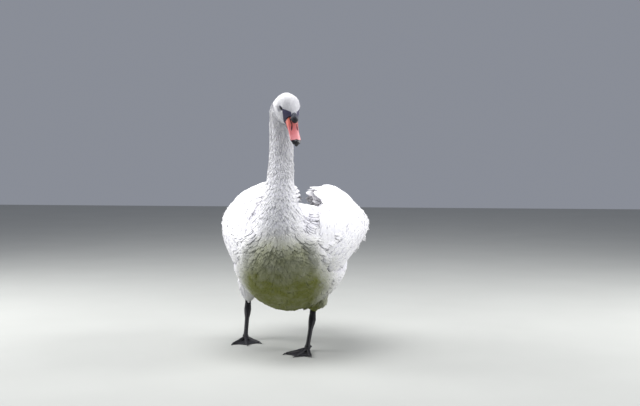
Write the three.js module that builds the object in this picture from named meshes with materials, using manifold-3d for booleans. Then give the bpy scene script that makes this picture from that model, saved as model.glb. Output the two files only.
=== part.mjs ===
// A mute swan, life size, standing with one foot ahead of the other, its wings half arched over the back
// and its bill bowed towards its left. Millimetres, +Z up. The breast faces -Y and the swan's left is +X.
// The origin is on the floor, under the middle of the bird's box.
import * as THREE from "three";
import { mergeVertices } from "three/addons/utils/BufferGeometryUtils.js";
import Module from "manifold-3d";

const wasm = await Module();
wasm.setup();

// ---------------------------------------------------------------- driving dimensions
const SEAM = 0.3; // air left between two pieces that meet
const SWAN_LENGTH = 800; // breast to tail tip
const BREAST_Y = -SWAN_LENGTH / 2;
const TAIL_TIP_Y = SWAN_LENGTH / 2;
const ROLL = 3.5; // degrees that the body leans over its left leg
const ROLL_LEVEL = 300; // height of the axis of that lean
const HEAD_TURN = 37; // degrees, from straight ahead towards the left
const HEAD_BOW = 56; // degrees that the bill points below level
const EYE_CENTRE = [29, -318, 809]; // the point midway between the eyes
const EYE_APART = 55;
const EYE_RADIUS = 6.4;
const TARSUS_WIDTH = 14;
const TOE_IN = 12; // degrees that each foot points towards the midline
const LEFT_FOOT = [60, -96]; // where the tarsus meets the floor, x and y
const RIGHT_FOOT = [-184, 104];
const SET_BACK = [-7, -3]; // x and y that bring the bird's box over the origin, past its lean and wide stance

const PLUMAGE = new THREE.MeshStandardMaterial({ color: 0xf4f3ee, roughness: 0.85, metalness: 0 });
const HORN_RED = new THREE.MeshStandardMaterial({ color: 0xe2705a, roughness: 0.45, metalness: 0 });
const HORN_BLACK = new THREE.MeshStandardMaterial({ color: 0x17151a, roughness: 0.4, metalness: 0 });
const KNOB_BLACK = new THREE.MeshStandardMaterial({ color: 0x24262e, roughness: 0.55, metalness: 0 });
const LEG_BLACK = new THREE.MeshStandardMaterial({ color: 0x26252c, roughness: 0.6, metalness: 0 });
const EYE_BROWN = new THREE.MeshStandardMaterial({ color: 0x120c0a, roughness: 0.08, metalness: 0 });

const rad = THREE.MathUtils.degToRad;
const mix = THREE.MathUtils.lerp;
const point = (x, y, z) => new THREE.Vector3(x, y, z);

// ---------------------------------------------------------------- curves through tables
// The value at t of a smooth curve through a, b, c, d, where b is at 0 and c at 1.
function smooth(a, b, c, d, t) {
  return b + 0.5 * t * (c - a + t * (2 * a - 5 * b + 4 * c - d + t * (3 * (b - c) + d - a)));
}

// A row of numbers at share s, from 0 to 1, of a table whose rows are evenly spaced.
function rowAt(table, s) {
  const at = Math.min(Math.max(s, 0), 1) * (table.length - 1);
  const i = Math.min(Math.floor(at), table.length - 2);
  const row = (k) => table[Math.min(Math.max(k, 0), table.length - 1)];
  return table[0].map((_, c) => smooth(row(i - 1)[c], row(i)[c], row(i + 1)[c], row(i + 2)[c], at - i));
}

// ---------------------------------------------------------------- closed surfaces
// A closed skin over rings of equal length, with a point at each end. The diagonals of the ring's left and
// right halves mirror each other, so that a shape alike on both sides has alike facets too.
function loft(rings, start, end) {
  const n = rings[0].length;
  const at = [start, ...rings.flat(), end].flatMap((p) => [p.x, p.y, p.z]);
  const last = rings.length * n + 1;
  const faces = [];
  for (let j = 0; j < n; j++) {
    const k = (j + 1) % n;
    faces.push(0, 1 + k, 1 + j);
    for (let i = 0; i < rings.length - 1; i++) {
      const a = 1 + i * n;
      const b = a + n;
      if (j < n / 4 || j >= (3 * n) / 4) faces.push(a + j, a + k, b + k, a + j, b + k, b + j);
      else faces.push(a + j, a + k, b + j, a + k, b + k, b + j);
    }
    faces.push(last, last - n + j, last - n + k);
  }
  const made = new THREE.BufferGeometry();
  made.setAttribute("position", new THREE.Float32BufferAttribute(at, 3));
  made.setIndex(faces);
  return made;
}

// An oval ring round centre, with its own reach to each side, up and down. Its upper and lower halves
// each have a squareness, where 2 is an ellipse.
function oval(centre, side, up, halfWidth, above, below, sides, upper = 2, lower = upper) {
  return Array.from({ length: sides }, (_, j) => {
    const angle = (2 * Math.PI * j) / sides;
    const squareness = Math.sin(angle) > 0 ? upper : lower;
    const bulge = (v) => Math.sign(v) * Math.abs(v) ** (2 / squareness);
    const across = halfWidth * bulge(Math.cos(angle));
    const rise = (Math.sin(angle) > 0 ? above : below) * bulge(Math.sin(angle));
    return centre.clone().addScaledVector(side, across).addScaledVector(up, rise);
  });
}

function solidOf(geometry) {
  const merged = mergeVertices(geometry.clone().deleteAttribute("normal").deleteAttribute("uv"), 1e-4);
  const made = new wasm.Manifold(
    new wasm.Mesh({
      numProp: 3,
      vertProperties: new Float32Array(merged.attributes.position.array),
      triVerts: new Uint32Array(merged.index.array),
    }),
  );
  if (made.volume() > 0) return made;
  const turned = new Uint32Array(merged.index.array).reverse();
  const positions = new Float32Array(merged.attributes.position.array);
  return new wasm.Manifold(new wasm.Mesh({ numProp: 3, vertProperties: positions, triVerts: turned }));
}

function geometryOf(solid) {
  const mesh = solid.getMesh();
  const made = new THREE.BufferGeometry();
  made.setAttribute("position", new THREE.BufferAttribute(new Float32Array(mesh.vertProperties), 3));
  made.setIndex(new THREE.BufferAttribute(new Uint32Array(mesh.triVerts), 1));
  made.computeVertexNormals();
  return made;
}

const join = (...shapes) => shapes.reduce((a, b) => a.add(b));
const cut = (shape, ...tools) => tools.reduce((a, b) => a.subtract(b), shape);
// A shape swept a seam's width each way along the axes, for cutting air round it.
const SWEEPS = [[1, 0, 0], [0, 1, 0], [0, 0, 1]].flatMap((way) => [way, way.map((v) => -v)]);
const withAir = (shape) => join(...SWEEPS.map((way) => shape.translate(way.map((v) => v * SEAM))));
const moved = (shape, matrix) => solidOf(geometryOf(shape).applyMatrix4(matrix));
const bothWays = (shape) => join(shape, shape.mirror([1, 0, 0]));

// A feather as a thin leaf along path(s), with face(s) its upper side, for s from 0 at the root to 1.
const LEAF_WIDTHS = [0.72, 1, 0.68];
function leaf(path, face, halfWidth, thickness) {
  const steps = LEAF_WIDTHS.length;
  const rings = LEAF_WIDTHS.map((share, i) => {
    const s = (i + 0.5) / steps;
    const along = path(s + 0.02).sub(path(s - 0.02)).normalize();
    const side = along.clone().cross(face(s)).normalize();
    const up = side.clone().cross(along);
    return oval(path(s), side, up, halfWidth * share, thickness / 2, thickness / 2, 4);
  });
  return solidOf(loft(rings, path(0), path(1)));
}

// ---------------------------------------------------------------- trunk
// Rows from breast to rump, closer together towards both ends: half width, top, widest level, bottom.
const TRUNK_ROWS = [
  [16, 352, 336, 320],
  [62, 396, 332, 276],
  [103, 432, 325, 238],
  [139, 461, 316, 198],
  [168, 483, 306, 163],
  [187, 494, 299, 142],
  [192, 495, 297, 136],
  [187, 490, 301, 142],
  [169, 480, 312, 164],
  [138, 463, 328, 202],
  [100, 441, 345, 249],
  [62, 421, 358, 291],
  [28, 400, 366, 334],
];
const TRUNK_FRONT_RING = BREAST_Y + 2;
const TRUNK_REAR_RING = 275;
const BACK_SQUARE = 3; // over 2: the scapular feathers make the back broad and flat
const BELLY_SQUARE = 1.7; // under 2: the belly narrows towards its keel

function trunkGeometry(grow = 0) {
  const steps = 18;
  const X = point(1, 0, 0);
  const Z = point(0, 0, 1);
  const rings = Array.from({ length: steps + 1 }, (_, i) => {
    const [half, top, middle, bottom] = rowAt(TRUNK_ROWS, i / steps);
    const s = (1 - Math.cos((Math.PI * i) / steps)) / 2;
    const centre = point(0, mix(TRUNK_FRONT_RING - grow, TRUNK_REAR_RING + grow, s), middle);
    const square = mix(2, BACK_SQUARE, Math.sin(Math.PI * Math.min(1, 1.25 * s)) ** 2);
    const reach = [half + grow, top - middle + grow, middle - bottom + grow];
    return oval(centre, X, Z, ...reach, 24, square, BELLY_SQUARE);
  });
  return loft(rings, point(0, BREAST_Y - grow, 336), point(0, TRUNK_REAR_RING + 3 + grow, 366));
}

// ---------------------------------------------------------------- neck
// Rows from inside the breast to inside the head: x, y, z, half width, half depth, degrees of turn.
const NECK_ROWS = [
  [-4, -272, 385, 112, 104, 0],
  [-5, -290, 447, 86, 84, 0],
  [-5, -296, 507, 64, 66, 2],
  [-5, -288, 563, 50, 53, 5],
  [-4, -274, 617, 44, 46, 9],
  [-4, -262, 668, 42.5, 43, 14],
  [-4, -257, 716, 42, 41, 20],
  [-5, -260, 762, 41.5, 40, 27],
  [-4, -274, 802, 41, 39, 33],
  [9, -298, 820, 39, 36, 37],
];
const NECK_SPLIT = 0.52; // share of the neck where its two lengths meet

function neckGeometry(from, to, steps, grow = 0) {
  const rings = Array.from({ length: steps + 1 }, (_, i) => {
    const s = mix(from, to, i / steps);
    const [x, y, z, half, depth, turn] = rowAt(NECK_ROWS, s);
    const ahead = rowAt(NECK_ROWS, s + 0.01);
    const behind = rowAt(NECK_ROWS, s - 0.01);
    const along = point(ahead[0] - behind[0], ahead[1] - behind[1], ahead[2] - behind[2]).normalize();
    const left = point(Math.cos(rad(turn)), Math.sin(rad(turn)), 0);
    const side = left.addScaledVector(along, -left.dot(along)).normalize();
    const back = along.clone().cross(side).normalize();
    return oval(point(x, y, z), side, back, half + grow, depth + grow, depth + grow, 16);
  });
  const middleOf = (ring) => ring.reduce((a, p) => a.add(p), point(0, 0, 0)).divideScalar(ring.length);
  return loft(rings, middleOf(rings[0]), middleOf(rings[steps]));
}

// ---------------------------------------------------------------- head and bill
// The head has its own frame at the eyes' midpoint: x along the bill, y to the left, z over the crown.
const headFrame = new THREE.Matrix4().makeBasis(
  point(
    Math.cos(rad(HEAD_BOW)) * Math.sin(rad(HEAD_TURN)),
    -Math.cos(rad(HEAD_BOW)) * Math.cos(rad(HEAD_TURN)),
    -Math.sin(rad(HEAD_BOW)),
  ),
  point(Math.cos(rad(HEAD_TURN)), Math.sin(rad(HEAD_TURN)), 0),
  point(
    Math.sin(rad(HEAD_BOW)) * Math.sin(rad(HEAD_TURN)),
    -Math.sin(rad(HEAD_BOW)) * Math.cos(rad(HEAD_TURN)),
    Math.cos(rad(HEAD_BOW)),
  ),
);
headFrame.setPosition(...EYE_CENTRE);

// Rows along the head: distance ahead of the eyes, half width, top, widest level, bottom.
const HEAD_ROWS = [
  [-56, 18, 15, -1, -18],
  [-48, 30, 26, -3, -29],
  [-34, 38, 32, -6, -36],
  [-19, 41, 34, -8, -39.5],
  [-4, 40, 32, -12, -40],
  [10, 36, 27, -14, -38.5],
  [23, 29.5, 22, -14, -35.5],
  [34, 23, 16, -12, -31.5],
  [41, 19, 10, -10, -27.5],
];
// The upper half of the bill, from the knob to the nail: the same columns.
const BILL_ROWS = [
  [36, 18.5, 10, -12, -20],
  [48, 18.5, 7, -13, -20.5],
  [60, 18, 0, -15, -21],
  [73, 17.4, -7, -17, -22],
  [86, 17.6, -11.5, -19, -23],
  [98, 18.2, -14, -20.5, -24.5],
  [108, 17, -16, -21.5, -25.5],
  [115, 13, -18, -22.5, -26.5],
];
// The lower half of the bill.
const JAW_ROWS = [
  [34, 13, -21, -24, -31],
  [52, 13, -21.5, -25, -30],
  [72, 12.5, -22.5, -26, -29.5],
  [90, 13.5, -24, -27, -30],
  [103, 13, -25.5, -28, -31],
  [110, 9, -26.5, -29, -31],
];

// A loft along the head's x axis. Each table row is one ring, so the rows may be unevenly spaced.
function headLoft(rows, steps, sides, grow, startPast, endPast, squareness = 2) {
  const Y = point(0, 1, 0);
  const Z = point(0, 0, 1);
  const ringAt = (s) => {
    const [x, half, top, middle, bottom] = rowAt(rows, s);
    const centre = point(x, 0, middle);
    return oval(centre, Y, Z, half + grow, top - middle + grow, middle - bottom + grow, sides, squareness);
  };
  const rings = Array.from({ length: steps + 1 }, (_, i) => ringAt(i / steps));
  const first = rows[0];
  const last = rows[rows.length - 1];
  const start = point(first[0] - startPast, 0, first[3]);
  const end = point(last[0] + endPast, 0, last[3]);
  return solidOf(loft(rings, start, end));
}

const headBlank = (grow) => headLoft(HEAD_ROWS, 9, 18, grow, 5, 1);
const upperBlank = (grow) => headLoft(BILL_ROWS, 8, 12, grow, 1, 4, 2.4);
const jawBlank = (grow) => headLoft(JAW_ROWS, 5, 10, grow, 1, 3, 2.2);

// An ellipsoid in the head's frame.
function ball(centre, radii, across = 12, down = 8) {
  const made = new THREE.SphereGeometry(1, across, down).scale(...radii).translate(...centre);
  return solidOf(made);
}
const EYE_LEVEL = 5;
const eyeAt = (side, grow = 0) => {
  const r = EYE_RADIUS + grow;
  return ball([0, (side * EYE_APART) / 2, EYE_LEVEL], [r, r * 0.85, r], 10, 6);
};
const knobBlank = (grow = 0) => ball([44, 0, 12], [14 + grow, 11 + grow, 10 + grow], 12, 8);
const nailBlank = (grow = 0) => ball([113.5, 0, -21.5], [9.5 + grow, 8 + grow, 6.8 + grow], 10, 6);
// The brow is flattened beside each eye, so that the eye sits in a hollow under it.
const socketAt = (side) => ball([2, side * (EYE_APART / 2 + 9.5), EYE_LEVEL + 1], [17, 9, 12.5], 10, 6);

const headSolid = cut(headBlank(0), socketAt(1), socketAt(-1), eyeAt(1, SEAM), eyeAt(-1, SEAM),
  upperBlank(SEAM), jawBlank(SEAM), knobBlank(SEAM));
const upperSolid = cut(upperBlank(0), knobBlank(SEAM), nailBlank(SEAM));
const jawSolid = cut(jawBlank(0), upperBlank(SEAM), nailBlank(SEAM));
const nailSolid = nailBlank(0);

// ---------------------------------------------------------------- wings
// The left wing's inner face, as cuts across the bird from its wrist to its rear. Each row holds y, then
// x and z of the lower edge, the widest point, the shoulder of the arch, its crest and the inner edge.
const WING_ROWS = [
  [-318, 112, 318, 128, 350, 122, 382, 110, 404, 96, 420],
  [-262, 144, 302, 170, 356, 156, 412, 132, 444, 106, 462],
  [-196, 166, 298, 200, 374, 178, 444, 144, 474, 108, 488],
  [-126, 175, 302, 222, 392, 190, 469, 144, 500, 104, 508],
  [-54, 173, 312, 236, 408, 197, 492, 140, 524, 96, 526],
  [18, 162, 326, 241, 421, 190, 503, 124, 543, 76, 542],
  [88, 146, 340, 235, 426, 178, 505, 108, 546, 56, 536],
  [154, 126, 353, 212, 425, 158, 497, 92, 534, 42, 520],
  [216, 106, 364, 178, 422, 130, 478, 78, 508, 36, 496],
  [270, 84, 376, 136, 415, 98, 453, 60, 476, 32, 467],
];
const WING_THICK = 13;
const QUILL_LIFT = 3.5; // the long feathers lie this far over the inner face
const QUILL_THICK = 5; // the lapped vanes of the long feathers together

// A point of the wing's inner face: u from wrist to rear, v from the lower edge to the inner edge. Past
// an edge the face runs on straight.
function wingPoint(u, v) {
  const row = rowAt(WING_ROWS, u);
  const corners = [1, 3, 5, 7, 9].map((c) => [row[c], row[c + 1]]);
  const onFace = (share) => rowAt(corners, share);
  const [x, z] = onFace(v);
  const made = point(x, row[0], z);
  if (v > 1 || v < 0) {
    const edge = v > 1 ? 1 : 0;
    const inside = onFace(Math.abs(edge - 0.05));
    const run = (Math.abs(v - edge)) / 0.05;
    const [ex, ez] = onFace(edge);
    made.set(ex + (ex - inside[0]) * run, row[0], ez + (ez - inside[1]) * run);
  }
  if (u > 1) {
    const inside = wingPoint(0.96, v);
    made.addScaledVector(made.clone().sub(inside), (u - 1) / 0.04);
  }
  return made;
}

function wingNormal(u, v) {
  const a = wingPoint(Math.min(u + 0.02, 1), v).sub(wingPoint(Math.min(u, 0.98) - 0.02, v));
  const b = wingPoint(Math.min(u, 1), v + 0.03).sub(wingPoint(Math.min(u, 1), v - 0.03));
  return a.cross(b).normalize();
}

// The arm with its coverts: a shell over the inner face, thin at its edges.
function wingShell() {
  const along = 12;
  const around = 7;
  const at = (i, j, depth) => {
    const u = i / along;
    const v = j / around;
    const edge = Math.min(1, 0.25 + 3 * Math.min(u, 1.02 - u, v + 0.12, 1.06 - v));
    return wingPoint(u, v).addScaledVector(wingNormal(u, v), depth * WING_THICK * edge);
  };
  const rings = Array.from({ length: along + 1 }, (_, i) => [
    ...Array.from({ length: around + 1 }, (_, j) => at(i, j, 0)),
    ...Array.from({ length: around + 1 }, (_, j) => at(i, around - j, 1)),
  ]);
  return solidOf(loft(rings, at(0, around / 2, 0.5), at(along, around / 2, 0.5)));
}

// The long feathers whose tips stand past the shell's rim: u and v of the root, then of the tip.
function wingQuill(from, to, halfWidth) {
  const where = (s) => [mix(from[0], to[0], s), mix(from[1], to[1], s)];
  const face = (s) => wingNormal(...where(Math.min(s, 0.9)));
  const path = (s) => wingPoint(...where(s)).addScaledVector(face(s), QUILL_LIFT);
  return leaf(path, face, halfWidth, QUILL_THICK);
}
const TERTIALS = 6;
const SECONDARIES = 5;
const wingSolid = (() => {
  const parts = [wingShell()];
  for (let i = 0; i < TERTIALS; i++) {
    const s = i / (TERTIALS - 1);
    const reach = 1.09 + 0.07 * Math.sin(2.4 * i + 1);
    parts.push(wingQuill([mix(0.3, 0.82, s), 0.72], [mix(0.5, 1.03, s), reach], mix(17, 21, s)));
  }
  for (let i = 0; i < SECONDARIES; i++) {
    const s = i / (SECONDARIES - 1);
    const reach = 1.13 + 0.05 * Math.sin(2.1 * i);
    parts.push(wingQuill([0.72, mix(0.12, 0.8, s)], [reach, mix(0.22, 0.92, s)], 18));
  }
  return join(...parts);
})();

// The folded primaries, a narrow stack from under the wing's rear over the root of the tail.
const PRIMARIES = 4;
const PRIMARY_BOW = 14;
const primarySolid = (() => {
  const quills = Array.from({ length: PRIMARIES }, (_, i) => {
    const s = i / (PRIMARIES - 1);
    const root = point(118 - 16 * s, 128, 356 + 16 * s);
    const tip = point(56 - 20 * s, mix(386, 334, s), 382 + 18 * s);
    const bow = point(0.5, 0, 0.6);
    const path = (t) => root.clone().lerp(tip, t).addScaledVector(bow, PRIMARY_BOW * Math.sin(Math.PI * t));
    return leaf(path, () => point(0.75, 0, 0.66), 16, 6);
  });
  return join(...quills);
})();

// ---------------------------------------------------------------- tail
const RECTRICES = 9;
const TAIL_ROOT = [0, 190, 388];
const TAIL_SPREAD = 44; // degrees across the fan
const TAIL_DROOP = 34;
const tailSolid = (() => {
  const quills = Array.from({ length: RECTRICES }, (_, i) => {
    const share = (2 * i) / (RECTRICES - 1) - 1;
    const angle = rad((share * TAIL_SPREAD) / 2);
    const length = (TAIL_TIP_Y - TAIL_ROOT[1] + 6) * (1 - 0.16 * share * share);
    const root = point(...TAIL_ROOT);
    const reach = point(Math.sin(angle), Math.cos(angle), 0);
    const drop = (t) => point(0, 0, -TAIL_DROOP * t * t - 6 * Math.abs(share));
    const path = (t) => root.clone().addScaledVector(reach, length * t).add(drop(t));
    return leaf(path, () => point(-0.25 * share, 0.2, 1).normalize(), 17, 7);
  });
  return join(...quills);
})();

// ---------------------------------------------------------------- legs
// One leg's points and the half widths of the feathered thigh and the bare shank below it.
function legPoints(foot, ankleBack, ankleOut, rise, knee) {
  const toeRoot = point(foot[0], foot[1], 12);
  const ankle = point(foot[0] + ankleOut, foot[1] + ankleBack, rise);
  const hem = point(ankle.x + 3, ankle.y - 10, rise + 28);
  return { toeRoot, ankle, hem, knee: point(hem.x + knee[0], hem.y + knee[1], hem.z + knee[2]) };
}
const LEGS = {
  left: legPoints(LEFT_FOOT, 58, 10, 101, [22, -20, 100]),
  right: legPoints(RIGHT_FOOT, 56, -1, 104, [16, -40, 122]),
};

// A tapering limb along straight runs. Rows hold the share of the way, half width and half depth.
function limb(path, rows, sides) {
  const X = point(1, 0, 0);
  const rings = rows.map(([s, half, depth]) => {
    const along = path(Math.min(s + 0.04, 1)).sub(path(Math.max(s - 0.04, 0))).normalize();
    const side = X.clone().addScaledVector(along, -along.x).normalize();
    return oval(path(s), side, along.clone().cross(side), half, depth, depth, sides);
  });
  return solidOf(loft(rings, path(0), path(1)));
}

// The thigh's feathers end just above the ankle, in a round hem.
const THIGH_ROWS = [
  [0.02, 40, 52],
  [0.3, 45, 56],
  [0.52, 41, 49],
  [0.7, 34, 39],
  [0.84, 27, 30],
  [0.94, 20, 21],
  [0.99, 14, 14],
];
function thighBlank({ knee, hem }, grow = 0) {
  const rows = THIGH_ROWS.map(([s, half, depth]) => [s, half + grow, depth + grow]);
  return limb((s) => knee.clone().lerp(hem, s), rows, 14);
}

// The bare shank: the end of the tibia, the swollen ankle and the long flattened tarsus.
const HALF = TARSUS_WIDTH / 2;
const SHANK_ROWS = [
  [0.0, HALF * 1.45, HALF * 1.5],
  [0.14, HALF * 1.5, HALF * 1.6],
  [0.29, HALF * 1.8, HALF * 1.95],
  [0.4, HALF * 1.55, HALF * 1.7],
  [0.54, HALF * 1.08, HALF * 1.3],
  [0.86, HALF * 1.02, HALF * 1.22],
  [1.0, HALF * 1.3, HALF * 1.35],
];
function shankBlank({ toeRoot, ankle, hem }) {
  const top = hem.clone().lerp(ankle, -0.25);
  const curve = new THREE.CatmullRomCurve3([top, hem, ankle, ankle.clone().lerp(toeRoot, 0.5), toeRoot]);
  return limb((s) => curve.getPointAt(s), SHANK_ROWS, 10);
}

// ---------------------------------------------------------------- feet
// Each toe, in the foot's frame with +Y ahead: degrees outwards, length and the height of its root.
const TOES = { inner: [-26, 102], middle: [0, 128], outer: [24, 120] };
const TOE_THICK = 6.2;
const WEB_THICK = 3;
const CLAW = 15;
const HIND = { degrees: 168, root: [0, -9, 17], length: 21 };

const heading = (degrees) => point(Math.sin(rad(degrees)), Math.cos(rad(degrees)), 0);

// A toe lies on the floor: a row of joints that get slimmer to the tip.
function toeSolid(degrees, length, side) {
  const ahead = heading(degrees * side);
  const path = (s) => point(0, 0, mix(8.5, 4.2, Math.min(1, s * 1.6))).addScaledVector(ahead, s * length);
  const rows = [0.02, 0.34, 0.54, 0.76, 0.97].map((s, i) => {
    const r = mix(TOE_THICK, TOE_THICK * 0.68, s) * (i % 2 ? 1.1 : 0.93);
    return [s, r, r * 0.95];
  });
  return limb(path, rows, 7);
}

// The web's outline runs from toe to toe in shallow hollows, and back to the tarsus.
function webSolid(side) {
  const tip = ([degrees, length], share) => heading(degrees * side).multiplyScalar(length * share);
  const inner = tip(TOES.inner, 0.97);
  const middle = tip(TOES.middle, 0.96);
  const outer = tip(TOES.outer, 0.97);
  const hollow = (a, b) => a.clone().add(b).multiplyScalar(0.43);
  const shape = new THREE.Shape();
  shape.moveTo(0, -7);
  shape.lineTo(inner.x * 0.5, inner.y * 0.47);
  shape.lineTo(inner.x, inner.y);
  const between = hollow(inner, middle);
  shape.quadraticCurveTo(between.x, between.y, middle.x, middle.y);
  const beyond = hollow(middle, outer);
  shape.quadraticCurveTo(beyond.x, beyond.y, outer.x, outer.y);
  shape.lineTo(outer.x * 0.5, outer.y * 0.47);
  shape.closePath();
  const settings = { depth: WEB_THICK, bevelEnabled: false, curveSegments: 5 };
  return solidOf(new THREE.ExtrudeGeometry(shape, settings));
}

// The knuckle where the toes meet, with the small raised hind toe behind it.
function heelBlank(side, grow = 0) {
  const back = heading(HIND.degrees * side);
  const path = (s) => point(...HIND.root).addScaledVector(back, s * HIND.length).add(point(0, 0, -8 * s));
  const rows = [[0.05, 4.4], [0.95, 3]].map(([s, r]) => [s, r + grow, r + grow]);
  return join(ball([0, -1, 11], [11 + grow, 12 + grow, 11 + grow], 10, 6), limb(path, rows, 8));
}

function footSolid(side) {
  const toes = Object.values(TOES).map(([degrees, length]) => toeSolid(degrees, length, side));
  const below = solidOf(new THREE.BoxGeometry(400, 400, 40).translate(0, 0, -20));
  return cut(join(webSolid(side), ...toes, heelBlank(side)), below);
}

// A claw: a short curved cone, flat below, just off the floor.
function clawSolid(length, radius) {
  const path = (s) => point(0, s * length, mix(radius, 0.9, s) + 0.9 * Math.sin(Math.PI * s));
  const rows = [0.0, 0.4, 0.8].map((s) => [s, radius * (1 - 0.72 * s), radius * 0.95 * (1 - 0.78 * s)]);
  return limb(path, rows, 6);
}

// ---------------------------------------------------------------- the bird put together
const swan = new THREE.Group();
// The trunk, wings and tail lean together about an axis along the body.
const body = new THREE.Group();
body.rotation.y = rad(ROLL);
body.position.set(-ROLL_LEVEL * Math.sin(rad(ROLL)), 0, ROLL_LEVEL * (1 - Math.cos(rad(ROLL))));
body.updateMatrixWorld(true);
swan.add(body);

function place(name, solid, material, parent = swan) {
  const mesh = new THREE.Mesh(solid.isBufferGeometry ? solid : geometryOf(solid), material);
  mesh.name = name;
  parent.add(mesh);
  return mesh;
}

const trunkSolid = solidOf(trunkGeometry());
const trunkTool = solidOf(trunkGeometry(SEAM));
const tail = cut(tailSolid, trunkTool);
const wing = cut(wingSolid, trunkTool);
const wingTool = bothWays(withAir(wing));
const primaries = cut(primarySolid, trunkTool, withAir(wing), bothWays(withAir(tail)));
// The trunk and wings where they stand, for cutting the pieces that do not lean with them.
const bodyTool = moved(join(trunkTool, wingTool), body.matrixWorld);
const seamShare = 0.0006;
const neckLower = cut(solidOf(neckGeometry(0, NECK_SPLIT - seamShare, 8)), bodyTool);
const headTool = moved(headBlank(SEAM), headFrame);
const neckUpper = cut(solidOf(neckGeometry(NECK_SPLIT, 1, 8)), headTool);
place("trunk", trunkSolid, PLUMAGE, body);
place("neck_lower", neckLower, PLUMAGE);
place("neck_upper", neckUpper, PLUMAGE);

const headGroup = new THREE.Group();
headFrame.decompose(headGroup.position, headGroup.quaternion, headGroup.scale);
swan.add(headGroup);
place("head", headSolid, PLUMAGE, headGroup);
place("bill_upper", upperSolid, HORN_RED, headGroup);
place("bill_lower", jawSolid, HORN_BLACK, headGroup);
place("bill_nail", nailSolid, HORN_BLACK, headGroup);
place("bill_knob", knobBlank(), KNOB_BLACK, headGroup);
place("eye_left", eyeAt(1), EYE_BROWN, headGroup);
place("eye_right", eyeAt(-1), EYE_BROWN, headGroup);

const sides = { left: 1, right: -1 };
for (const [name, side] of Object.entries(sides)) {
  place(`wing_${name}`, wing, PLUMAGE, body).scale.x = side;
  place(`primaries_${name}`, primaries, PLUMAGE, body).scale.x = side;
}
place("tail", tail, PLUMAGE, body);

for (const [name, side] of Object.entries(sides)) {
  const leg = LEGS[name];
  const footGroup = new THREE.Group();
  footGroup.position.set(leg.toeRoot.x, leg.toeRoot.y, 0);
  footGroup.rotation.z = Math.PI - side * rad(TOE_IN);
  footGroup.updateMatrixWorld(true);
  swan.add(footGroup);
  const outward = -side;
  const foot = footSolid(outward);
  const heelTool = moved(heelBlank(outward, SEAM), footGroup.matrixWorld);
  const thigh = thighBlank(leg);
  place(`thigh_${name}`, cut(thigh, bodyTool), PLUMAGE);
  place(`shank_${name}`, cut(shankBlank(leg), thighBlank(leg, SEAM), heelTool), LEG_BLACK);
  place(`foot_${name}`, foot, LEG_BLACK, footGroup);
  for (const [toe, [degrees, length]] of Object.entries(TOES)) {
    const claw = place(`claw_${name}_${toe}`, clawSolid(CLAW, 4.1), HORN_BLACK, footGroup);
    claw.position.copy(heading(degrees * outward).multiplyScalar(length + SEAM));
    claw.rotation.z = -rad(degrees * outward);
  }
}

swan.position.set(...SET_BACK, 0);

export default swan;
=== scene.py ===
import math
from functools import partial

import bmesh
import bpy
import numpy as np
from mathutils import Matrix, Vector
from mathutils.bvhtree import BVHTree
from mathutils.kdtree import KDTree


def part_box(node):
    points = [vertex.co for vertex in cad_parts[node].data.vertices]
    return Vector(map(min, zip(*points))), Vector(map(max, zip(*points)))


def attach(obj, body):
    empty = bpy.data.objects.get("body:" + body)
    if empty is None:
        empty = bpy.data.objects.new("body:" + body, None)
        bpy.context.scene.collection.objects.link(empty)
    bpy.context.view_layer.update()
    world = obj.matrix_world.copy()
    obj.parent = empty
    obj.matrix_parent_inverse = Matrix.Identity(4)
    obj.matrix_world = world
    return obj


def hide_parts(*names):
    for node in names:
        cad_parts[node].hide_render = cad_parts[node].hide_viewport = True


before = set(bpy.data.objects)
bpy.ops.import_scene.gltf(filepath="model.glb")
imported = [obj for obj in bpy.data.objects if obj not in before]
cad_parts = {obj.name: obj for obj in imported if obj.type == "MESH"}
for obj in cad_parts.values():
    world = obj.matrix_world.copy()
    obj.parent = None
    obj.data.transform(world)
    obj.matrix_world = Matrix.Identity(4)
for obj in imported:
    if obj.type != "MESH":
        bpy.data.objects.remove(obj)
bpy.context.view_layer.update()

# ------------------------------------------------------------------ camera
# The camera stands 4.3 m in front of the bird, a little to its left and at the height of its neck. It looks
# slightly down through a long lens, which keeps the bird's proportions true.
CAMERA_SIDE = math.radians(7.5)
CAMERA_DISTANCE = 4.3
CAMERA_HEIGHT = 0.775
CAMERA_LENS = 72
CAMERA_FILM = 36
IMAGE_WIDTH = 640
LENS_PIXELS = IMAGE_WIDTH * CAMERA_LENS / CAMERA_FILM
HORIZON_ABOVE_MIDDLE = 83
BREAST_BESIDE_MIDDLE = 29.5
CAMERA_DOWN = math.atan(HORIZON_ABOVE_MIDDLE / LENS_PIXELS)
CAMERA_ASIDE = math.atan(BREAST_BESIDE_MIDDLE / LENS_PIXELS)
BREAST_ON_FLOOR = Vector((-0.007, -0.073, 0))

towards_camera = Vector((math.sin(CAMERA_SIDE), -math.cos(CAMERA_SIDE), 0))
camera = bpy.data.objects.new("camera", bpy.data.cameras.new("camera"))
bpy.context.scene.collection.objects.link(camera)
camera.location = BREAST_ON_FLOOR + towards_camera * CAMERA_DISTANCE + Vector((0, 0, CAMERA_HEIGHT))
level_look = Matrix.Rotation(-CAMERA_ASIDE, 3, "Z") @ -towards_camera
look = level_look * math.cos(CAMERA_DOWN) - Vector((0, 0, math.sin(CAMERA_DOWN)))
camera.rotation_euler = look.to_track_quat("-Z", "Y").to_euler()
camera.data.lens = CAMERA_LENS
camera.data.sensor_width = CAMERA_FILM
bpy.context.scene.camera = camera

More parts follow.
